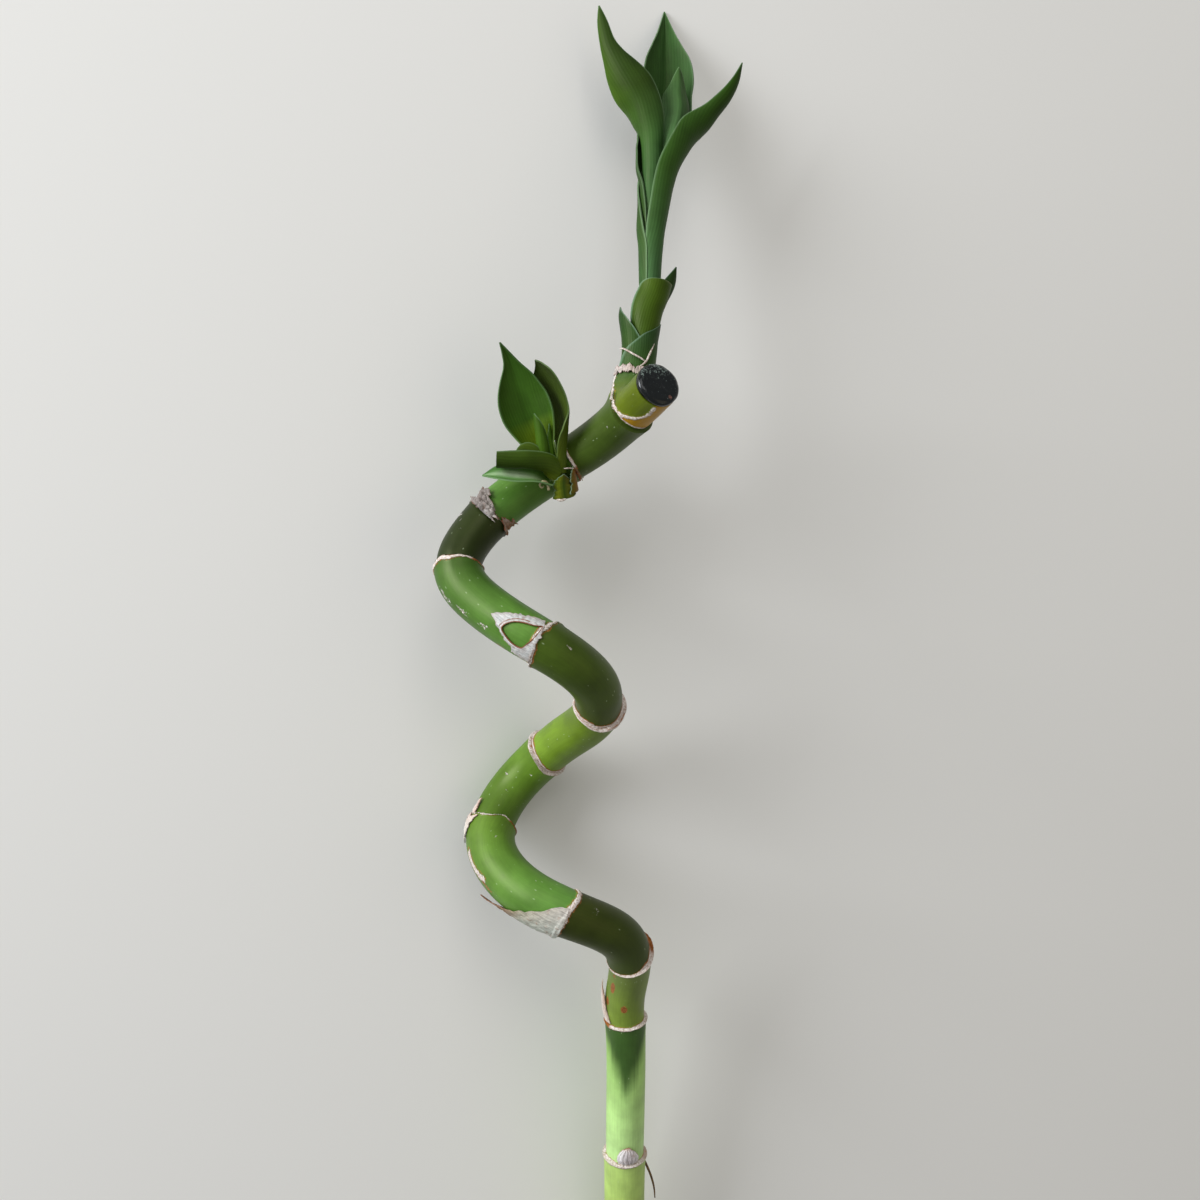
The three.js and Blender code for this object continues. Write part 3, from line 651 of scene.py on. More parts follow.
def lineDistance(places, line):
    # distance in mm from each place to a line through points
    best = np.full(len(places), 1e3)
    for start, end in zip(line[:-1], line[1:]):
        run = end - start
        t = np.clip(((places - start) @ run) / (run @ run), 0, 1)[:, None]
        best = np.minimum(best, np.linalg.norm(places - start - run * t, axis=1))
    return best


def spotDistance(s, angle, spot):
    # 0 in the middle of an oval place on the skin and 1 on its rim
    at, turned, long, wide = spot
    return np.hypot((s - at) / long, (angle - turned) * skinWay / wide)


strength = {  # how papery or brown each mark is at most
    "ringBrown": 0.8, "ringEdge": 0.68, "ringLine": 0.62, "ringPink": 0.35,
    "scar": 0.95, "scarRim": 0.62, "brown": 0.9, "pale": 0.56, "rubbed": 0.38, "wedge": 0.94,
}


def caneRows():
    rows = [0.0]
    while rows[-1] < caneLength - 0.3:
        near = min(abs(rows[-1] - ring["at"]) for ring in rings)
        fine = near < cane["ringReach"] or rows[-1] > cane["stubFrom"]
        rows.append(rows[-1] + (cane["ringStep"] if fine else cane["rowStep"]))
    rows[-1] = caneLength
    return rows


def caneMasks(s, angle):
    # how papery and how brown the skin is
    dry, rust = np.zeros((2, len(s)))
    for ring in rings:
        off, half = fromRing(ring, s, angle)
        off = np.abs(off) / half
        band = 1 - smoothStep(0.75, 1.2, off)
        side = cosOf(angle - ring.get("brown", 180))
        rusty = strength["ringBrown"] * ring.get("rusty", 1 if "brown" in ring else 0)
        brown = smoothStep(0.70, 0.97, side) * band * rusty
        edge = smoothStep(0.6, 1.0, off) * (1 - smoothStep(1.1, 1.7, off)) * strength["ringEdge"]
        if ring.get("double"):
            brown = np.maximum(brown, strength["ringLine"] * (1 - smoothStep(0.05, 0.35, off)))
        dry = np.maximum(dry, band * (1 - strength["ringPink"] * ring.get("pink", 0)))
        rust = np.maximum(rust, np.maximum(brown, edge))
    scar = lineDistance(unrolled(s, angle), unrolled(*np.array(marks["scar"], float).T))
    scarRim = smoothStep(0.75, 1.1, scar) * (1 - smoothStep(1.3, 2.1, scar))
    dry = np.maximum(dry, strength["scar"] * (1 - smoothStep(0.75, 1.15, scar)))
    rust = np.maximum(rust, strength["scarRim"] * scarRim)
    for spot in marks["brown"]:
        away = spotDistance(s, angle, spot)
        sunken = 0.7 + 0.3 * smoothStep(0.1, 0.6, away)
        rust = np.maximum(rust, strength["brown"] * (1 - smoothStep(0.6, 1.2, away)) * sunken)
    torn = 0.55 * wobble(columns(s * 2.4, angle / 3.5, 0), 1.0, 3)
    for spot in marks["pale"]:
        away = spotDistance(s, angle, spot) + torn
        dry = np.maximum(dry, strength["pale"] * (1 - smoothStep(0.2, 1.3, away)))
    rubbed = 1 - smoothStep(0.0, 1.2, spotDistance(s, angle, marks["rubbed"]))
    return np.maximum(dry, (strength["rubbed"] - 0.2 * torn) * rubbed), rust


def caneGreens(s, angle):
    flat = levelled(s, angle)
    ends = [row[0] for row in cane["greens"][1:]] + [caneLength + 1]
    stops = []
    for (start, low, high), end in zip(cane["greens"], ends):
        stops += [(start + 0.1, low), (end - 0.1, high)]
    reach = np.array(marks["wedge"], float)
    half = np.interp(flat, reach[:, 0], reach[:, 1], left=-30)
    fibres = columns(angle / 7, 0, flat / 60)  # streaks 1 mm wide that blur its sides
    edge = (half - np.abs(angle)) * degree * 6.4 + 0.6 * wobble(fibres, 1.0, 9)  # the cane's radius is 6.4 there
    share = smoothStep(*marks["wedgeFades"], flat) * smoothStep(-3.2, 2.6, edge) * (flat < reach[-1, 0])
    return blend(toneAt(stops, flat), linear(cane["wedge"]), strength["wedge"] * share)


def addCane():
    closing = (0.0, 0.25, 0.5, 0.75, 0.93, 0.985)  # rows that close an end, as shares of its radius
    steps = [(0, f) for f in closing] + [(s, 1) for s in caneRows()] + [(caneLength, f) for f in closing[::-1]]
    piece, x, t = gridPiece("spiralCane", cane["sides"], len(steps) - 1)
    row = np.round(t * (len(steps) - 1)).astype(int)
    s, share = np.array(steps)[row].T
    angle = x * 360
    middle = caneFrame(s)[0]
    putCorners(piece, middle + (caneSurface(s, angle) - middle) * share[:, None])
    dry, rust = caneMasks(s, angle)
    fibre = columns(7 * cosOf(angle), 7 * np.sin(np.radians(angle)), s)
    setData(piece, tone=caneGreens(s, angle), dry=dry, rust=rust, fibre=fibre)
    piece.data.materials.append(waxyCaneSkin)
    piece.data.materials.append(cutPith)
    lowest = np.array([min(row[v] for v in face.vertices) for face in piece.data.polygons])
    cut = (lowest < len(closing) - 1).astype(np.int32)
    piece.data.polygons.foreach_set("material_index", cut)
    closeUp(piece)
    return piece


caneBody = addCane()
print("cane is grown:", len(caneBody.data.polygons), "faces")


# ---- shoots
def shootFrame(foot, top):
    foot = np.array(foot, float)
    along = unit(np.array(top, float) - foot)
    front = unit(viewSide - along * (along @ viewSide))
    return foot, np.array((np.cross(along, front), -front, along))


def inShoot(place, points):
    foot, axes = place
    return foot + np.asarray(points, float) @ axes


upperShoot = shootFrame((2.5, 19.5, 349.5), (8.5, 45.5, 407.5))
lowerShoot = shootFrame((-19, 14.5, 316.5), (-24, 15.5, 343))
turnedFront = (1, -1, 1)  # tables give right, front and up, and a shoot's own frame right, back and up
plainLeaf = {  # what a leaf has unless its own table says otherwise
    "across": 22, "along": 70,  # faces
    "thickness": 0.42, "tip": 0.15,  # mm, the second is the tip's half width
    "edge": 0.34, "edgeWidth": 0.32,  # how pale its margin is, and how many mm of it
    "ragged": 0, "fold": 0, "lap": 0, "wave": 0, "waves": 7,
}


def leafStrip(place, look, x, t):
    # the strip that the CAD leaf is made from, with a fold, waves and a keener tip
    # its rows: right, front, up, facing, half width, roll, dip and turn, with angles in degrees
    look = plainLeaf | look
    table = np.array([list(row) + [0] * (8 - len(row)) for row in look["rows"]], float)
    table[-1, 4] = look["tip"]
    spineRows = table[:, :3] * turnedFront
    facing, dip = np.radians(table[:, (3, 6)]).T
    outerRows = columns(np.sin(facing) * np.cos(dip), -np.cos(facing) * np.cos(dip), -np.sin(dip))
    spine = smoothRows(spineRows, t)
    along = unit(smoothRows(spineRows, t + 1e-3) - smoothRows(spineRows, t - 1e-3))
    out = smoothRows(outerRows, t)
    out = unit(out - along * (out * along).sum(axis=1, keepdims=True))
    across = np.cross(along, out)
    half, roll, turn = smoothRows(table[:, (4, 5, 7)], t).T
    torn = wobble(columns(t * 9, np.sign(x), 0), 0.7, 12) * look["ragged"]
    half = np.maximum(half * (1 + torn), 0.1)
    bend = np.radians(np.maximum(roll, 3))
    radius = half / bend
    angle = 2 * x * bend + np.radians(turn)
    fade = np.clip((1 - t) * 6, 0, 1) * np.clip(t * 5, 0, 1)
    ridge = look["fold"] * np.exp(-((x / 0.09) ** 2)) * fade
    wave = look["wave"] * np.sin(t * look["waves"] + x * 2.5) * (2 * np.abs(x)) ** 2 * fade
    lap = look["lap"] * x * smoothStep(160, 178, roll)  # one margin runs over the other
    reach = radius + ridge + wave + lap
    points = spine + across * (reach * np.sin(angle))[:, None]
    points = points + out * (reach * np.cos(angle) - radius)[:, None]
    steps = np.linspace(0, 1, 200)
    run = np.interp(t, steps, runLength(smoothRows(spineRows, steps)))
    return inShoot(place, points), columns(2 * x * half, 0, run), half


def addLeaf(name, place, look, material, slot, *nodes):
    look = plainLeaf | look
    piece, x, t = gridPiece(name, look["across"], look["along"])
    points, fibre, half = leafStrip(place, look, x, t)
    putCorners(piece, points)
    edge = (1 - 2 * np.abs(x)) * half  # mm to the margin
    margin = (1 - smoothStep(0.05, look["edgeWidth"], edge)) * look["edge"]
    setData(piece, tone=toneAt(look["tones"], t, x), margin=margin, fibre=fibre)
    thicken(piece, look["thickness"])
    finishPiece(piece, material, slot, *nodes, angle=60)


def addStem(name, place, look, sides=32, steps=60):
    # a round body with closed ends, from rows of up, radius, right and front
    cap = 0.04  # the share of the length that closes each end
    piece, x, t = gridPiece(name, sides, steps)
    t = t * (1 + 2 * cap) - cap
    shrink = np.where(t < 0, 1 + t / cap, np.where(t > 1, 1 - (t - 1) / cap, 1))
    up, radius, right, front = smoothRows(look["rows"], t).T
    reach = radius * np.sqrt(np.maximum(0, 1 - (1 - shrink) ** 2))
    angle = x * 2 * math.pi
    putCorners(piece, inShoot(place, columns(right + reach * np.sin(angle), -(front + reach * np.cos(angle)), up)))
    tone = toneAt(look["tones"], np.clip(t, 0, 1), x)
    setData(piece, tone=tone, margin=np.zeros(len(x)), fibre=columns(radius * angle, 0, up))
    closeUp(piece)
    return piece


def addShoot(place, stemName, stemNode, stem, leaves):
    finishPiece(addStem(stemName, place, stem), shootSheath, "shoot_green", stemNode)
    for node, look in leaves.items():
        material, slot = (leafBlade, "leaf_green") if "_leaf" in node else (shootSheath, "shoot_green")
        addLeaf(look["name"], place, look, material, slot, node)


upperStem = {
    "rows": [
        (1, 5.3, -0.5, 0), (3, 4.6, -0.5, 0), (5.5, 3.7, -0.4, 0), (10, 3.3, -0.1, 0), (14, 3.1, 0.4, 0),
        (21, 3, 0.5, 0), (23.5, 2.3, 0.6, 0), (26, 1.9, 0.8, 0), (36, 1.4, 0.3, 0), (46, 1.1, 0, 0),
    ],
    "tones": [(0, "#35552c"), (1, "#2c4a1c")],
}
upperLeaves = {
    "upper_scale_right": {
        "name": "shootScaleRight", "edge": 0.5,
        "rows": [
            (4.9, 0, 0.2, 90, 14.6, 152), (4.9, 0, 3.2, 90, 13.8, 148), (5, 0, 7, 90, 11.4, 118),
            (5, 0, 10, 90, 8, 88), (5.2, 0, 12.5, 90, 4.6, 54), (5.4, 0, 15.7, 90, 0.5, 30),
        ],
        "tones": [(0, "#2f4c22 #2c4818 #30480f"), (0.6, "#2a4624 #243e14 #26390d"), (1, "#203a18 #1c3210 #1c3210")],
    },
    "upper_scale_left": {
        "name": "shootScaleLeft", "edge": 0.5,
        "rows": [
            (-5.3, 0, 0, -90, 12, 146), (-5, 0, 3, -90, 10.4, 138), (-4.9, 0, 6.6, -90, 8.8, 118),
            (-5.4, 0, 10.5, -90, 6.8, 94), (-6.2, 0, 14, -90, 5, 68), (-6.8, 0, 17, -90, 3, 50),
            (-6.7, 0, 19.7, -90, 0.5, 30),
        ],
        "tones": [(0, "#26400f #28440a #26400f"), (0.6, "#1f3a12 #223f10 #223f18"), (1, "#1c3414 #1f3a18 #1f3a18")],
    },
    "upper_bract": {
        "name": "shootBract", "edge": 0.5, "edgeWidth": 0.4, "wave": 0.35, "waves": 11,
        "rows": [
            (4.4, 0, 8.5, 90, 10.4, 158), (4.9, 0, 13.5, 90, 11.4, 158), (5.5, 0, 18.5, 90, 12.4, 156),
            (6.5, 0, 22.2, 90, 12.8, 152), (7, 0, 24.6, 90, 12.4, 144), (7.3, 0, 26.2, 90, 10, 118),
            (7.5, 0, 27.3, 90, 5, 74), (7.6, 0, 27.7, 90, 1.5, 40),
        ],
        "tones": [
            (0, "#2c4410 #384c0c #303c0a"), (0.5, "#344c0a #3a4e0a #3a3c08"), (0.8, "#3a500c #34460c #463c0a"),
            (1, "#6a6a30 #4a5418 #5a4a10"),
        ],
    },
    "upper_leaf_right": {
        "name": "shootLeafRight", "lap": 0.3, "edge": 0.55, "along": 120, "across": 36,
        "rows": [
            (4.3, 0, 26.5, 90, 9.6, 188, 0, 63), (4, 0, 34.5, 90, 10.6, 188, 0, 63), (4, 0, 39, 90, 11.3, 184, 0, 63),
            (4.1, 0, 44, 90, 12.2, 172, 0, 61), (4.7, 0, 51, 90, 12.2, 152, 0, 48),
            (5.4, 0, 57.7, 90, 12.1, 130, 0, 34), (6.6, -0.1, 63.4, 90, 11.6, 108, 0, 20),
            (8.9, 0.6, 68.8, 83, 10.2, 88, 0, 8), (11.3, 1.7, 73.6, 68, 8.4, 69, 0, 3),
            (13.6, 2.4, 77.6, 56, 5.4, 58), (15.7, 2.5, 81.3, 50, 3.4, 50), (19.2, 2.1, 86.8, 50, 2.5, 42),
            (21.3, 1.8, 91.8, 50, 1.6, 36), (22.4, 1.5, 97.3, 50, 0.4, 30),
        ],
        "tones": [(0, "#3c5e38 #34562c #304e24"), (0.42, "#30501c #26420e #243c0c"), (1, "#28480c #1f3808 #203a08")],
    },
    "upper_leaf_back": {
        "name": "shootLeafBack", "fold": 0.7, "along": 100, "across": 30,
        "rows": [
            (0.4, -2.4, 36.5, 180, 6.4, 155), (0.2, -2.8, 42, 180, 7.5, 152), (0, -3.5, 50, 180, 8.6, 142),
            (-0.2, -4, 57, 180, 8.7, 122), (-0.8, -4.9, 62, 180, 9.6, 106), (-0.3, -5.6, 66, 180, 10.6, 94),
            (0.5, -6.4, 70, 180, 10.9, 86), (1.2, -7.2, 76, 181, 10.4, 76), (1, -7.6, 82.2, 182, 9.6, 64),
            (0.5, -7.8, 88.1, 184, 9.2, 56), (0.7, -8, 93.7, 186, 8.8, 50), (0.2, -8.3, 99.6, 188, 7.7, 48),
            (-0.4, -8.8, 104.9, 190, 5.3, 45), (-1, -9.3, 110.3, 190, 2.8, 42), (-1.9, -10, 117.5, 190, 0.5, 30),
        ],
        "tones": [(0, "#35552c #2f4c22 #2a451a"), (0.5, "#34562e #2a4a1c #263f16"), (1, "#2c4f22 #24401a #233f14")],
    },
    "upper_leaf_left": {
        "name": "shootLeafLeft", "along": 110, "across": 30,
        "rows": [
            (-1.2, 1.3, 41, -40, 4.9, 150), (-1.8, 1.5, 47.7, -42, 6.2, 150), (-2.6, 1.6, 55.3, -45, 6.8, 146),
            (-3.2, 1.8, 62.8, -45, 6.5, 126), (-3.8, 2, 68.2, -44, 6, 106), (-4.4, 2.6, 72.1, -40, 6.2, 88),
            (-5.5, 3.4, 75.6, -35, 7, 74), (-7.5, 4.7, 80.6, -28, 7.3, 61), (-10.3, 5.6, 85, -26, 7.3, 54),
            (-13.5, 6, 89.4, -25, 5.8, 50), (-16.1, 6, 93.5, -24, 3.8, 46), (-18.2, 6, 97.6, -22, 2.5, 42),
            (-20.1, 6, 103.5, -20, 1.6, 37), (-21.4, 6, 108.3, -20, 0.5, 30),
        ],
        # the right-hand column runs darker along the blade: painted shade on the half that turns away from the light
        "tones": [
            (0, "#34542a #385a34 #345630"), (0.35, "#385a1e #315020 #2d4c24"), (0.6, "#3a560e #243c08 #1e3206"),
            (1, "#304a0a #203608 #1c3006"),
        ],
    },
    "upper_leaf_young": {
        "name": "shootLeafYoung", "fold": 0.5, "along": 80,
        "rows": [
            (0.2, 0.4, 54, 15, 3, 148), (1, 0.5, 61, 15, 3.8, 138), (2.8, 1, 67.3, 15, 4.6, 116),
            (4, 1.2, 73, 15, 6.4, 98), (4.9, 1, 78.4, 15, 6.9, 94), (5, 0.6, 82.5, 15, 6.6, 86),
            (4.4, 0.2, 86.6, 15, 5.2, 76), (4.3, -0.4, 90, 15, 2.9, 66), (3.9, -1, 95.3, 15, 0.5, 30),
        ],
        # the right-hand column is darker: painted shade on the half that turns away from the light
        "tones": [(0, "#4c6c44 #45663c #2f4c1c"), (0.5, "#486a40 #3f6034 #284214"), (1, "#3f5f30 #314f24 #243c12")],
    },
}
bractTip = {
    "along": 30,
    "rows": [
        (4, -1.8, 20, 40, 2, 60), (5.6, -1.4, 24, 40, 2.7, 52), (7.5, -0.6, 28.8, 42, 2.3, 42),
        (8.4, 0, 33.4, 44, 0.3, 30),
    ],
    "tones": [(0, "#24401a #223a14 #223a14"), (1, "#1d3614 #1c3310 #1c3310")],
}
addShoot(upperShoot, "upperShootStem", "upper_stem", upperStem, upperLeaves)
addLeaf("shootBractTip", upperShoot, bractTip, shootSheath, "shoot_green")
print("upper shoot is grown")

lowerStem = {
    "rows": [
        (-2.4, 2.6, 0.2, -3), (0, 2.9, 0.2, -1.2), (3, 2.4, -0.2, -0.4), (5, 1.4, -0.8, 0.1), (9.2, 1.1, -2.2, 0.8),
    ],
    "tones": [(0, "#4f5a14"), (1, "#5f7018")],
}
lowerLeaves = {
    "lower_bract_right": {
        "name": "budBractRight", "along": 40, "ragged": 0.25, "edge": 0.6,
        "rows": [
            (4, 0.4, -1, 78, 3.4, 50), (4.1, 0.6, 2, 76, 3.2, 48), (4.1, 0.7, 4.6, 74, 1.9, 40),
            (4, 0.7, 6.4, 74, 0.4, 30),
        ],
        "tones": [(0, "#4a4a12 #6a4a12 #54380e"), (1, "#5a4a14 #8a5416 #4a300c")],
    },
    "lower_bract_front": {
        "name": "budBractFront", "along": 44, "ragged": 0.22, "edge": 0.6,
        "rows": [
            (0, 3.1, -2.2, 5, 3.6, 70), (0.1, 3.4, 0.8, 10, 3.6, 66), (0.5, 3.6, 3.2, 18, 2.4, 50),
            (0.9, 3.7, 5.2, 20, 0.5, 30),
        ],
        "tones": [
            (0, "#2c400e #6a6f14 #2f420e #5f6412 #2a360c"), (0.6, "#34480f #56640f #2c400c #4f5010 #2a340c"),
            (1, "#3f500f #5a5a10 #3a440c #4a3c0c #3a2c0a"),
        ],
    },
    "lower_leaf_pale": {
        "name": "budLeafPale", "edge": 0.4,
        "rows": [
            (-4, 1.6, 2.6, -80, 3, 50, 0), (-7.4, 3, 5.4, -150, 3.6, 45, 60), (-12.5, 3.6, 7.4, 180, 4.3, 36, 60),
            (-17.5, 3.8, 8.8, 180, 3.4, 32, 60), (-22.4, 3.8, 9.4, 180, 0.5, 30, 60),
        ],
        # the paler middle column, whitish halfway along, is a painted highlight on the light-green blade
        "tones": [
            (0, "#4a6a24 #4f7428 #5f8034 #4f7428 #4a6824"), (0.5, "#4a7434 #588440 #b0c49c #588440 #4a6c32"),
            (1, "#3c6430 #446c34 #7a9c68 #446c34 #365824"),
        ],
    },
    "lower_leaf_folded": {
        "name": "budLeafFolded", "tip": 5, "along": 90,
        "rows": [
            (-0.3, 3, 5, 10, 2.8, 60, 0), (-3.4, 5, 7.8, 0, 4.8, 85, 40), (-8.5, 6.4, 9.6, 0, 5.6, 92, 56),
            (-13, 6.8, 10.6, -4, 5.6, 88, 56), (-17.7, 6.7, 11.8, -4, 5.1, 84, 56),
        ],
        "tones": [(0, "#5a6410 #4a5c10 #3c500e"), (0.45, "#3a4a0c #2c400a #344a0e"), (1, "#2f420c #26380a #2a3e0c")],
    },
    "lower_leaf_right": {
        "name": "budLeafRight", "edge": 0.14,
        "rows": [
            (1.5, 1, 5, 70, 2.8, 76), (2.7, 0.6, 10.5, 86, 4.2, 72), (4.1, -1.2, 16, 108, 6, 60),
            (4.4, -2.6, 21, 124, 7, 48), (3.9, -3.2, 26, 128, 7, 42), (2.7, -3.5, 31, 128, 6.2, 38),
            (1.4, -3.6, 34.6, 126, 5.2, 36), (0.3, -3.6, 36.8, 122, 2.7, 34), (-0.9, -3.6, 38.3, 118, 0.5, 30),
        ],
        "tones": [(0, "#4c5c10 #3f500e"), (0.5, "#33430c #2c3c0a"), (1, "#263508 #223006")],
    },
    "lower_leaf_big": {
        "name": "budLeafBig", "edge": 0.2, "fold": 0.25, "along": 90,
        "rows": [
            (-0.9, -2, 4.5, 180, 4.2, 116), (-2.6, -2.3, 10, 181, 4.8, 104), (-3.9, -2.6, 13.6, 182, 6.2, 90),
            (-4.9, -2.9, 17.7, 184, 7.5, 70), (-5.7, -3.3, 21.5, 184, 8.4, 56), (-6.4, -3.6, 25, 184, 8.5, 48),
            (-6.9, -3.8, 29, 184, 7.8, 42), (-7.3, -3.7, 34, 182, 5.6, 39), (-7.9, -3.3, 38.5, 180, 2.6, 36),
            (-8.8, -2.7, 42, 180, 1.2, 33), (-9.8, -1.8, 45.3, 180, 0.5, 30),
        ],
        # the lighter yellow-green near its base, brightest in the middle, is a painted highlight
        "tones": [
            (0, "#6a8014 #74861a #647c14"), (0.2, "#5a7414 #748818 #4f6c14"), (0.42, "#2c4a0e #2f5010 #2c480e"),
            (1, "#24400c #284510 #243e0c"),
        ],
    },
    "lower_leaf_small": {
        "name": "budLeafSmall", "along": 40,
        "rows": [
            (-4.4, 2.4, 9.4, 0, 1.2, 40), (-6.6, 3, 13, 0, 2.3, 36), (-9, 3.4, 14.2, 0, 2.1, 34),
            (-11.8, 3.8, 14, 0, 0.5, 30),
        ],
        "tones": [(0, "#4a600f #44580f #3f5410"), (1, "#34480c #2f420a #2f420a")],
    },
    "lower_leaf_young": {
        "name": "budLeafYoung", "along": 50,
        "rows": [
            (-4.9, 1.7, 10.2, -60, 3, 136), (-5, 1.9, 13, -60, 4, 132), (-4.6, 1.8, 18, -60, 3.3, 118),
            (-4.3, 1.5, 21.5, -60, 1.8, 85), (-4, 1.2, 23.8, -60, 0.5, 30),
        ],
        "tones": [(0, "#5a7418 #3f5c10 #34500c"), (1, "#3a5c14 #2f4c10 #28440c")],
    },
    "lower_leaf_bud": {
        "name": "budLeafInner", "along": 40,
        "rows": [
            (-0.9, 1, 9.9, 60, 1.3, 100), (-0.7, 1, 12.5, 60, 1.5, 95), (-0.5, 0.9, 16.5, 60, 1.3, 80),
            (-0.4, 0.7, 20, 60, 0.5, 30),
        ],
        "tones": [(0, "#4f7014 #44640f #3a580c"), (1, "#345410 #2c4a0e #28440c")],
    },
}
addShoot(lowerShoot, "lowerShootStem", "lower_stem", lowerStem, lowerLeaves)
print("lower shoot is grown")

# ---- the swelling under the upper shoot runs smoothly into the cane's end
swelling = {
    "rows": [(-13, 3.4, -0.8, 0), (-11, 5.4, -0.8, 0), (-7, 6.5, -0.8, 0), (-3, 6.1, -0.7, 0), (0.6, 5.3, -0.5, 0)],
    "tones": [(0, "#5f6e14 #66761a"), (0.55, "#5c6e1a #5f7020"), (1, "#3c5a30 #3c5c30")],
}
blending = {"reach": 3.2, "from": 440, "near": 34}  # mm: roundness, where on the cane, and how far from the shoot


def caneDepth(points):
    # signed distance to the skin of the cane's end
    s = np.linspace(blending["from"] - 20, caneLength, 260)
    away = np.linalg.norm(points[:, None, :] - onCane(s)[None], axis=2)
    nearest = away.argmin(axis=1)
    end = np.array([caneLength])
    flatEnd = (points - onCane(end)) @ caneFrame(end)[1][0]
    radius = caneRadius(s[nearest], np.zeros(len(nearest)))
    return np.maximum(away[np.arange(len(points)), nearest] - radius, flatEnd)


def swellDepth(points):
    # and to the skin of the swelling
    foot, axes = upperShoot
    x, y, z = axes @ (points - foot).T
    table = np.array(swelling["rows"], float)
    inside = np.clip(z, table[0, 0], table[-1, 0] + 3)
    radius, middle = [np.interp(inside, table[:, 0], table[:, k]) for k in (1, 2)]
    return np.maximum(np.hypot(x - middle, y) - radius, np.maximum(table[0, 0] - z, z - 4))


def growingCorners(piece):
    # a piece's corners, back on the growing plant, and which of them are near the upper shoot's foot
    grown = (readNumbers(piece.data.vertices, "co", 3) / mm - np.array(laying["shift"])) @ layTurn
    return grown, np.where(np.linalg.norm(grown - upperShoot[0], axis=1) < blending["near"])[0]


def meltTogether(piece, own, other):
    # moves corners near both bodies out to the rounded surface between them
    grown, near = growingCorners(piece)
    points = grown[near]
    reach = blending["reach"]

    def melted(p):
        a, b = own(p), other(p)
        h = np.clip(0.5 + 0.5 * (b - a) / reach, 0, 1)
        return b * (1 - h) + a * h - reach * h * (1 - h)

    move = (other(points) < reach * 1.5) & (other(points) > -0.8)
    step = 0.05
    for _ in range(4):
        slope = np.stack([(melted(points + d) - melted(points - d)) / (2 * step) for d in np.eye(3) * step], axis=1)
        steep = np.maximum((slope * slope).sum(axis=1), 0.2)
        points = np.where(move[:, None], points - slope * (melted(points) / steep)[:, None] * 0.8, points)
    grown[near] = points
    putCorners(piece, grown)


meltTogether(caneBody, caneDepth, swellDepth)
shootFoot = addStem("shootFootSwelling", upperShoot, swelling, 84)
meltTogether(shootFoot, swellDepth, caneDepth)
unmarked = np.zeros(len(shootFoot.data.vertices))
setData(shootFoot, dry=unmarked, rust=unmarked)
shootFoot.data.materials.append(waxyCaneSkin)
caneBody.select_set(True)
shootFoot.select_set(True)
bpy.context.view_layer.objects.active = caneBody
bpy.ops.object.join()

# the torn white edge of the last sheath, round the swelling and the end of the cane: right, front, up in the shoot
tear = {
    "pastRing": (462, 462.6),  # distances up the cane between which its last ring ends
    "fadesOut": (16, 21),  # how far in front of the shoot's middle the ochre ends
    "half": 0.55, "lift": 0.3,
    "line": [
        (-5.9, 1.6, -0.5), (-6.4, 1.9, -2.7), (-6.6, 3.1, -5.4), (-6.6, 4.4, -6.9), (-6.6, 5.4, -8.7),
        (-6.2, 6, -10.3), (-5.7, 6.8, -11.6), (-4.8, 8.1, -13.3), (-3.9, 8.4, -14.1), (-2.7, 9.1, -14.8),
        (-0.1, 10.3, -15.4), (2.6, 11.9, -15.2), (4.4, 14, -14.5), (5.6, 16.7, -13.3),
    ],
}


def addTear(piece):
    foot, axes = upperShoot
    rows = np.array(tear["line"], float) * turnedFront
    line = inShoot(upperShoot, smoothRows(rows, np.linspace(0, 1, 60)))
    grown, near = growingCorners(piece)
    places = grown[near]
    facing = (readNumbers(piece.data.vertices, "normal", 3) @ layTurn)[near]
    away = lineDistance(places, line) + 0.16 * wobble(places, 1.3, 13) + 0.1 * wobble(places, 0.5, 14)
    away = away / tear["half"]
    grown[near] = places + facing * (tear["lift"] * np.exp(-(away**4)))[:, None]
    putCorners(piece, grown)

    # below the tear the bare stem has dried to ochre
    rightward, back, upward = axes @ (places - foot).T
    edgeUp = np.interp(rightward, *np.vstack((rows[5:, (0, 2)], (9, -9), (14, -3))).T)
    s = np.linspace(blending["from"], caneLength, 120)
    nearest = s[np.linalg.norm(places[:, None] - onCane(s)[None], axis=2).argmin(axis=1)]
    pastRing = smoothStep(*tear["pastRing"], nearest)
    young = np.maximum(pastRing, smoothStep(1.0, 0.2, swellDepth(places)) * (upward > -12))
    soft = 1 + 4 * smoothStep(*tear["fadesOut"], -back)  # past the tear's end the ochre fades out
    bare = smoothStep(-0.3, 0.6, (edgeUp - upward) / soft) * pastRing * (rightward > -5)
    low, high = [linear(c) for c in cane["stub"]]
    inside = blend(np.array(low), high, smoothStep(-9, 0, upward))
    stored = piece.data.attributes
    tone = readNumbers(stored["tone"].data, "color", 4)
    for share, colour in ((young, inside), (bare, linear(cane["ochre"]))):
        tone[near, :3] = blend(tone[near, :3], colour, share)
    stored["tone"].data.foreach_set("color", tone.astype(np.float32).ravel())
    edge = 0.5 * smoothStep(0.9, 1.2, away) * (1 - smoothStep(1.4, 1.9, away))
    for name, amount in (("dry", 1 - smoothStep(0.7, 1.15, away)), ("rust", edge)):
        values = readNumbers(stored[name].data, "value", 1)[:, 0]
        values[near] = np.maximum(values[near], amount)
        stored[name].data.foreach_set("value", values.astype(np.float32))


addTear(caneBody)
bpy.ops.object.shade_smooth_by_angle(angle=math.radians(55))
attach(caneBody, "root")
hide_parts("cane")
bpy.ops.object.select_all(action="DESELECT")
print("shoot foot is joined to the cane")

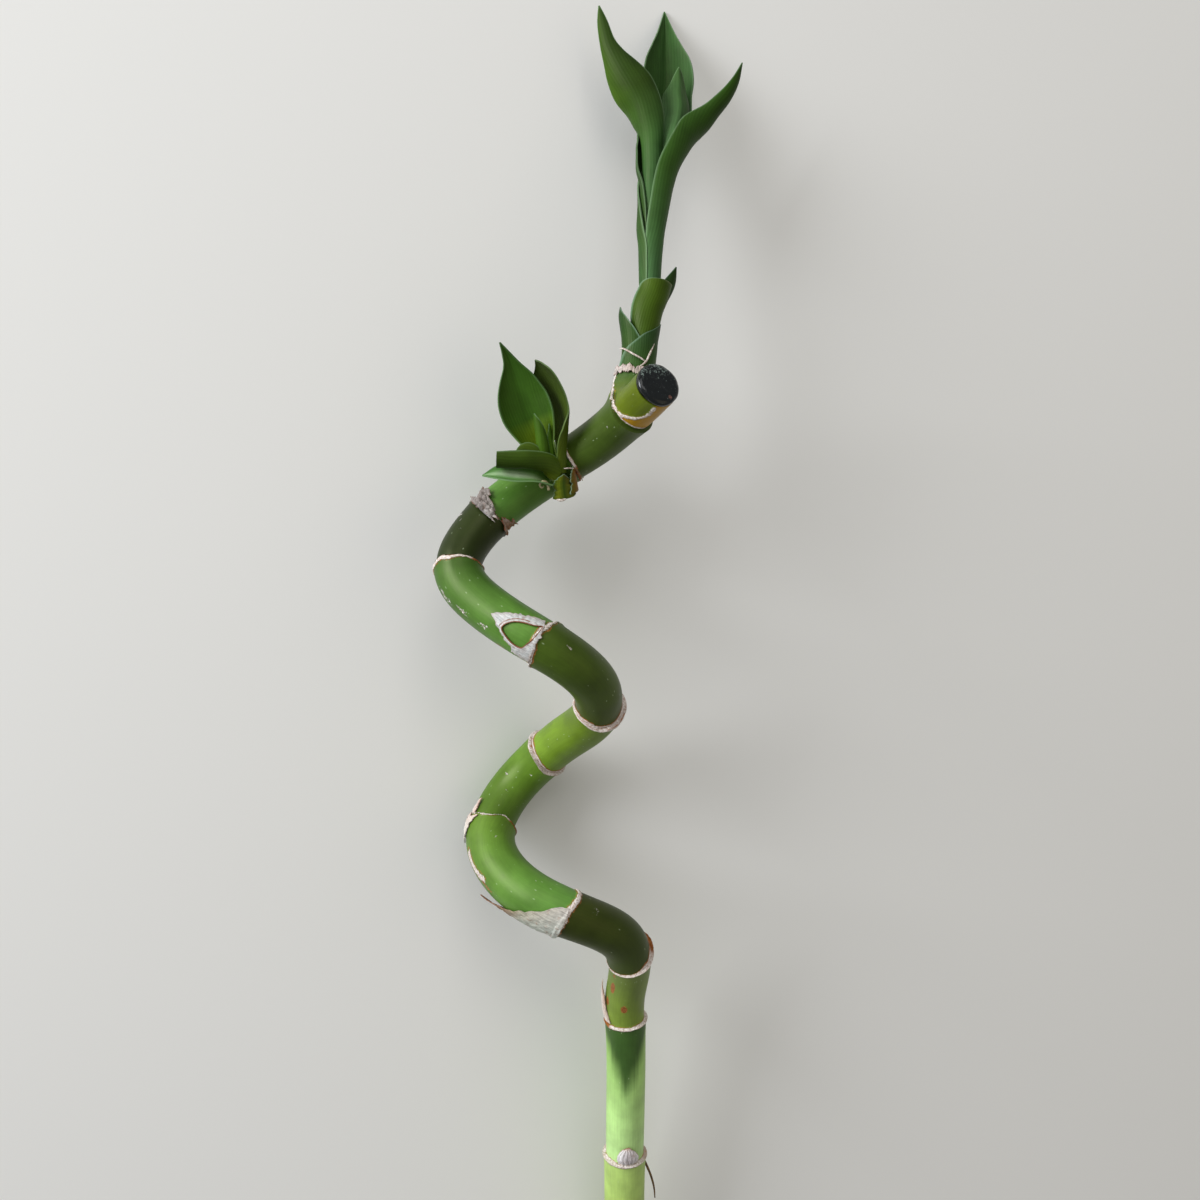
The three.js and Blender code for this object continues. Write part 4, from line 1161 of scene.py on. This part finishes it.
# ---- wax seal
seal = {
    "gap": 0.3,
    "chip": (4.9, 0.4, 1.3),  # to the right of the middle, toward the view, radius
    "scuffedSide": (-0.87, -0.5),  # the direction of the side that is scuffed most
    "lumps": ((2.6, 0.08, 1), (1.1, 0.04, 3)),  # across, high, which noise
    "topFrom": 1.0,  # its top has the lumps and the chip
    "profile": [  # radius and height over the cut, from under its edge to the middle of its top
        (0.0, -0.38), (3.0, -0.38), (5.4, -0.38), (6.1, -0.25), (6.36, 0.2), (6.44, 0.8), (6.36, 1.2), (6.1, 1.55),
        (5.6, 1.85), (5.0, 1.98), (4.2, 2.0), (3.2, 2.0), (2.0, 2.02), (1.0, 2.04), (0.0, 2.04),
    ],
}


def addSeal():
    piece, x, t = gridPiece("waxSeal", 64, 56)
    reach, up = smoothRows(seal["profile"], t).T
    angle = x * 2 * math.pi
    middle, along, front, right = [part[0] for part in caneFrame(np.array([caneLength + seal["gap"]]))]
    spots = columns(reach * np.cos(angle), reach * np.sin(angle), up)
    bumps = sum(wobble(spots, size, seed) * height for size, height, seed in seal["lumps"])
    reach = np.maximum(reach, 0) * (1 + 0.02 * wobble(spots, 5.0, 5))
    toRight, toView = reach * np.sin(angle), reach * np.cos(angle)
    up = up + bumps * (up > seal["topFrom"])
    putCorners(piece, middle + columns(toRight, toView, up) @ np.array((right, front, along)))
    chipRight, chipView, chipSize = seal["chip"]
    chip = 1 - smoothStep(0.4, 1.0, np.hypot(toRight - chipRight, toView - chipView) / chipSize)
    sideRight, sideView = seal["scuffedSide"]
    farSide = smoothStep(0.5, 4.5, sideRight * toRight + sideView * toView)
    setData(piece, chip=chip * (up > seal["topFrom"]), scuffed=(0.80 + 0.20 * farSide) * (up > 1.4))
    closeUp(piece)
    finishPiece(piece, sealingWax, "seal_wax", "wax_seal", angle=70)


addSeal()


# ---- dry remains of the sheaths
def finishDry(piece, node, thickness, closed=False, **values):
    setData(piece, **values)
    if closed:
        closeUp(piece)
    thicken(piece, thickness)
    finishPiece(piece, dryPaper, "dry_sheath", node, angle=60)


plainScrap = {  # what a scrap has unless its own table says otherwise, sizes in mm
    "grid": (26, 44), "thickness": 0.3, "lift": 0.42,
    "ragged": 6, "tatter": 0.5,  # degrees that its sides wander, mm that its end does
    "crumple": 0.12, "dome": 0, "pleat": 0, "twist": 0,
    "rim": 0.9, "rimWidth": 0.7, "farRim": 1,  # how brown its rim is, its width, and the share on the far side
}


def addScrap(node, look):
    # its rows: distance up the cane, angle where it starts, angle where it ends, lift
    look = plainScrap | look
    piece, x, t = gridPiece(look["name"], *look["grid"])
    seed = look["seed"]
    s, start, stop, lift = smoothRows(look["rows"], t).T
    place = columns(t * 9, 0, seed)
    start = start + look["ragged"] * wobble(place, 1.1, 1)
    stop = stop + look["ragged"] * wobble(place, 0.9, 2)
    share = x + 0.5
    angle = start + (stop - start) * share
    ends = wobble(columns(angle / 9, 0, seed), 1.0, 5)
    s = s + look["tatter"] * ends * smoothStep(0.75, 1, t)
    flat = columns(s / 1.6, angle / 12, seed)
    crumple = look["crumple"] * (wobble(flat, 1.4, 3) + 0.5 * wobble(flat, 0.6, 4))
    dome = look["dome"] * np.sin(math.pi * share) * np.sin(math.pi * np.clip(t * 0.9 + 0.1, 0, 1))
    pleats = look["pleat"] * np.sin(share * 34 + 0.8 * np.sin(t * 7))
    twist = look["twist"] * (0.5 - share) * t * (1 - t)
    height = look["lift"] + lift + np.abs(crumple) + dome + pleats + twist
    putCorners(piece, plainCane(s, angle, height))
    fromSide = (1 - np.abs(2 * share - 1)) * np.abs((stop - start) / 2 * skinWay)
    fromEnd = (1 - t) * (look["rows"][-1][0] - look["rows"][0][0])
    rim = 1 - smoothStep(0.1, look["rimWidth"], np.minimum(fromSide, np.abs(fromEnd)))
    rim = rim * np.where(share > 0.5, look["farRim"], 1) * look["rim"]
    fibre = columns(angle * skinWay, seed * 5, s)
    finishDry(piece, node, look["thickness"], rim=rim, tone=toneAt(look["tones"], t, x), fibre=fibre)


scraps = {
    "dry_bud_scale": {
        "name": "budScaleDry", "pleat": 0.13, "seed": 1, "dome": 0.7, "ragged": 1, "tatter": 0.2, "rimWidth": 0.35,
        "rim": 0.7,
        "rows": [
            (92.6, -20, 34, 0), (94, -21, 38, 0.3), (95.9, -20, 34, 0.4), (97.6, -13, 25, 0.3), (98.6, -4, 16, 0.1),
            (99, 3, 9, 0),
        ],
        "tones": [(0, "#eae4e2 #c4babc #e4dedc"), (0.7, "#eae4e0 #c4b8b6 #e0d6d0"), (1, "#b0845c #9a6a44 #b0845c")],
    },
    "dry_point_scale": {
        "name": "pointScaleDry", "seed": 2, "ragged": 1, "twist": 3.6, "rim": 0.3, "rimWidth": 0.3,
        "rows": [
            (146, -98, -45, 0), (148.5, -100, -56, 0.1), (151.5, -102, -64, 0.3), (155, -101, -70, 0.6),
            (158.5, -98, -82, 1),
        ],
        "tones": [(0, "#d8ccc2 #d8ccc0 #c9b4a4"), (1, "#e0d4ca #cdb8a8 #a88468")],
    },
    "dry_sheath_curl": {
        "name": "sheathCurlDry", "seed": 3, "ragged": 4, "grid": (44, 66), "crumple": 0.2, "rim": 0.7, "farRim": 0.4,
        "rimWidth": 0.4,
        "rows": [
            (203.9, -108, 27, 0), (206, -108, 17, 0), (209, -108, 0, 0), (211.4, -107, -13, 0), (213.6, -106, -26, 0),
            (216, -105, -42, 0), (218.4, -103, -57, 0.1), (222, -100, -68, 0.5), (227.2, -95, -82, 1.8),
        ],
        "tones": [
            (0, "#c9cabc #c4c6ba #c2b8ae"), (0.5, "#b4b8a2 #b4b8a8 #a8a088"), (0.8, "#9a8a70 #8f7050 #8a6a50"),
            (1, "#7a5438 #6f4428 #6a3f24"),
        ],
    },
    "dry_flake_left": {
        "name": "leftFlakeDry", "seed": 4, "ragged": 3, "rim": 0.5, "rimWidth": 0.3,
        "rows": [(240.7, -92, -76, 0), (242.2, -98, -60, 0), (243.8, -100, -46, 0), (245.4, -98, -34, 0)],
        "tones": [(0, "#e2ddd4 #ddd6cc #d8cfc4"), (1, "#d8cfc4 #cbbcae #c2ac9c")],
    },
    "dry_flake_upper": {
        "name": "tongueFlakeDry", "seed": 5, "ragged": 2, "rim": 0.5, "rimWidth": 0.3,
        "rows": [(245.4, -78, -58, 0), (247, -74, -56, 0.05), (248.8, -68, -54, 0.15), (250.6, -60, -53, 0.3)],
        "tones": [(0, "#ddd0c8 #d4c2b8 #c9b0a0"), (1, "#dccdc4 #c9b0a2 #a8846c")],
    },
    "dry_flake_crumpled": {
        "name": "crumpledFlakeDry", "seed": 6, "ragged": 8, "crumple": 0.7, "grid": (48, 56), "rim": 0.6,
        "rimWidth": 0.4,
        "rows": [(399.8, -24, 15, 0.2), (401.4, -60, 16, 0.5), (404, -62, -10, 0.3), (406.9, -56, -44, 0.8)],
        # grey dry paper, its darker patches painted shade between the crinkles
        "tones": [(0, "#685c57 #9f9792 #aca59e"), (0.5, "#90867f #766a63 #a39a92"), (1, "#5b4d44 #897f78 #9e9389")],
    },
    "dry_flake_brown": {
        "name": "brownFlakeDry", "seed": 7, "ragged": 5, "crumple": 0.25,
        "rows": [(401.3, 50, 72, 0.5), (403.5, 27, 69, 0.2), (405, 44, 66, 0.3), (407, 58, 66, 0.6)],
        "tones": [(0, "#a08f82 #8a6a52 #7f4f2c"), (1, "#a89a90 #8a7058 #74502e")],
    },
}
for node, look in scraps.items():
    addScrap(node, look)

# the silver scar with its green eye, whose lines give the distance up the cane and the angle
scar = {
    "centre": (352, 1), "thickness": 0.3,
    "outline": [
        (362, -2), (358, 22), (353.6, 40), (349.2, 58), (348.2, 11), (348, -26), (347.4, -64), (352.8, -60),
        (352.4, -49), (354.2, -41), (356.2, -29), (358.8, -14),
    ],
    "eye": [
        (357, -15), (356.2, 2), (354.1, 16), (350.5, 28), (349, 36), (349.3, 6), (350.1, -17), (350.9, -31),
        (353, -32), (355.1, -26),
    ],
    "tones": [(0, "#c9c0ba"), (0.5, "#c2c2be"), (1, "#b4aca4")],
}


def roundedLine(points, perSpan=8):
    # a smooth closed line through points
    steps = 1 + np.arange(len(points) * perSpan) / perSpan
    return smoothRows(points[-1:] + points + points[:2], steps / (len(points) + 2))


def rimReach(outline, centre, turned):
    # how far the outline is from the centre, in mm, in each direction
    corners = unrolled(*(np.array(outline, float) - centre).T)
    reach = np.full(len(turned), np.nan)
    for start, end in zip(corners, np.roll(corners, -1, axis=0)):
        run = end - start
        cross = np.cos(turned) * run[1] - np.sin(turned) * run[0]
        cross = np.where(np.abs(cross) < 1e-9, 1e-9, cross)
        far = (start[0] * run[1] - start[1] * run[0]) / cross
        share = (start[0] * np.sin(turned) - start[1] * np.cos(turned)) / cross
        hit = (far > 0) & (share >= -1e-6) & (share <= 1 + 1e-6)
        reach = np.where(hit, np.fmax(reach, far), reach)
    return np.where(np.isnan(reach), np.nanmean(reach), reach)


def addScar():
    piece, x, share = gridPiece("scarSheathDry", 200, 24)
    turned = x * 2 * math.pi
    outer = rimReach(scar["outline"], scar["centre"], turned)
    inner = rimReach(roundedLine(scar["eye"]), scar["centre"], turned)
    outer = outer + 0.3 * wobble(columns(np.cos(turned), np.sin(turned), 0), 0.14, 2)
    width = np.maximum(outer - inner, 0.4)
    fromEye = share * width
    reach = inner + fromEye
    s = scar["centre"][0] + reach * np.cos(turned)
    angle = scar["centre"][1] + reach * np.sin(turned) / skinWay
    bumps = np.abs(wobble(columns(s, angle / 8, 8), 1.3, 3))
    putCorners(piece, plainCane(s, angle, 0.32 + 0.12 * bumps + 0.16 * np.exp(-((share / 0.12) ** 2))))
    second = np.exp(-(((fromEye - 0.95) / 0.22) ** 2)) * (np.cos(turned) > 0)  # a second line over the eye
    eyeRim = np.maximum(1 - smoothStep(0.15, 0.4, fromEye), second)
    rim = np.where(share < 0.5, eyeRim, 0.62 * (1 - smoothStep(0.1, 0.4, (1 - share) * width)))
    values = {"rim": rim * 0.9, "tone": toneAt(scar["tones"], share), "fibre": columns(angle * skinWay, 40, s)}
    finishDry(piece, "dry_sheath_scar", scar["thickness"], closed=True, **values)


addScar()

fibreCollar = {
    "tip": 8, "thickness": 0.35,
    "rows": [(-2, 5.9, -0.9, -15, 8.2, 76), (-2, 6, 0.2, -15, 8.3, 76), (-2, 5.9, 1.2, -15, 8, 74)],
    "tones": [(0, "#c9bfb8 #b8a69a #a8948a")],
}


def addCollar():
    piece, x, t = gridPiece("fibreCollarDry", 90, 14)
    points, fibre, _ = leafStrip(upperShoot, fibreCollar, x, t)
    foot, axes = upperShoot
    along = axes[2]
    place = columns(x * 14, 0, t)
    frayed = 0.7 * wobble(place, 0.6, 7) + 0.6 * wobble(place, 0.25, 7)
    rise = wobble(place, 1.6, 6) * 0.7 + frayed * (t - 0.5)
    outward = 0.25 * np.abs(wobble(place, 0.7, 8))
    centre = foot + along * ((points - foot) @ along)[:, None]
    putCorners(piece, points + along * rise[:, None] + unit(points - centre) * outward[:, None])
    rim = 0.6 * (1 - smoothStep(0.05, 0.35, (0.5 - np.abs(t - 0.5)) * 2))
    tone = toneAt(fibreCollar["tones"], t, x)
    finishDry(piece, "fibre_collar", fibreCollar["thickness"], rim=rim, tone=tone, fibre=fibre + (0, 55, 0))


addCollar()


def addThread(name, points, radii, material, *nodes):
    # a round thread along a smooth line, thinner toward its end
    piece, x, t = gridPiece(name, 10, 14 * (len(points) - 1))
    line = smoothRows(points, t)
    along = unit(smoothRows(points, t + 2e-3) - smoothRows(points, t - 2e-3))
    side = unit(np.cross(np.broadcast_to((0.3, -1, 0.2), along.shape), along))
    other = np.cross(along, side)
    radius = np.interp(t, np.linspace(0, 1, len(radii)), radii)
    radius = radius * np.where((t < 1e-6) | (t > 1 - 1e-6), 0, 1)
    angle = x * 2 * math.pi
    putCorners(piece, line + side * (radius * np.cos(angle))[:, None] + other * (radius * np.sin(angle))[:, None])
    closeUp(piece)
    finishPiece(piece, material, "dry_sheath", *nodes, angle=80)


tendril = [
    (-4.3, -3.3, 1.2), (-4.3, -3.6, 3.2), (-5.2, -4.1, 4.3), (-6.5, -4, 3.6), (-6.2, -3.8, 2.5), (-5.4, -3.7, 3),
]
addThread("budTendril", inShoot(lowerShoot, tendril), (0.4, 0.4, 0.3, 0.2), tendrilFibre, "tendril")
strands = {  # loose strands round the feet of the shoots: thickness, and right, front, up in the shoot
    "collarStrandLow": (
        upperShoot, paleFibre, 0.28,
        [(-5.7, 3.6, 6.2), (-4.5, 5.2, 5.8), (-1.8, 6.3, 4.3), (0.9, 6.2, 3.1), (2.1, 5.4, 2.4)],
    ),
    "collarStrandHigh": (
        upperShoot, paleFibre, 0.30, [(0.6, 6.3, 0.9), (2.1, 5.6, 2.6), (3.0, 4.7, 5.2), (4.1, 3.2, 8.9)]
    ),
    "budStrandPale": (lowerShoot, paleFibre, 0.2, [(1.2, 4.0, 6.8), (2.6, 3.6, 6.6), (4.2, 2.6, 6.0)]),
    "budStrandBrown": (lowerShoot, brownRoot, 0.2, [(4.6, 1.6, 6.0), (5.2, 1.4, 4.2), (6.0, 0.8, 1.6)]),
    "budCrumb": (lowerShoot, paleFibre, 0.4, [(-2.6, 3.3, -1.9), (-1.2, 3.7, -2.3), (0.2, 3.5, -2.2)]),
}
for name, (place, material, radius, rows) in strands.items():
    path = inShoot(place, np.array(rows, float) * turnedFront)
    addThread(name, path, (radius * 0.6, radius, radius, radius * 0.5), material)
rootPlaces = np.array([(86.5, 108, 0.1), (84.5, 100, 1.0), (81.5, 92, 2.2), (77.5, 89, 3.2), (73, 88, 3.6)])
addThread("rootThread", plainCane(*rootPlaces.T), (0.45, 0.4, 0.35, 0.2), brownRoot, "root_thread")
print("dry remains are placed")
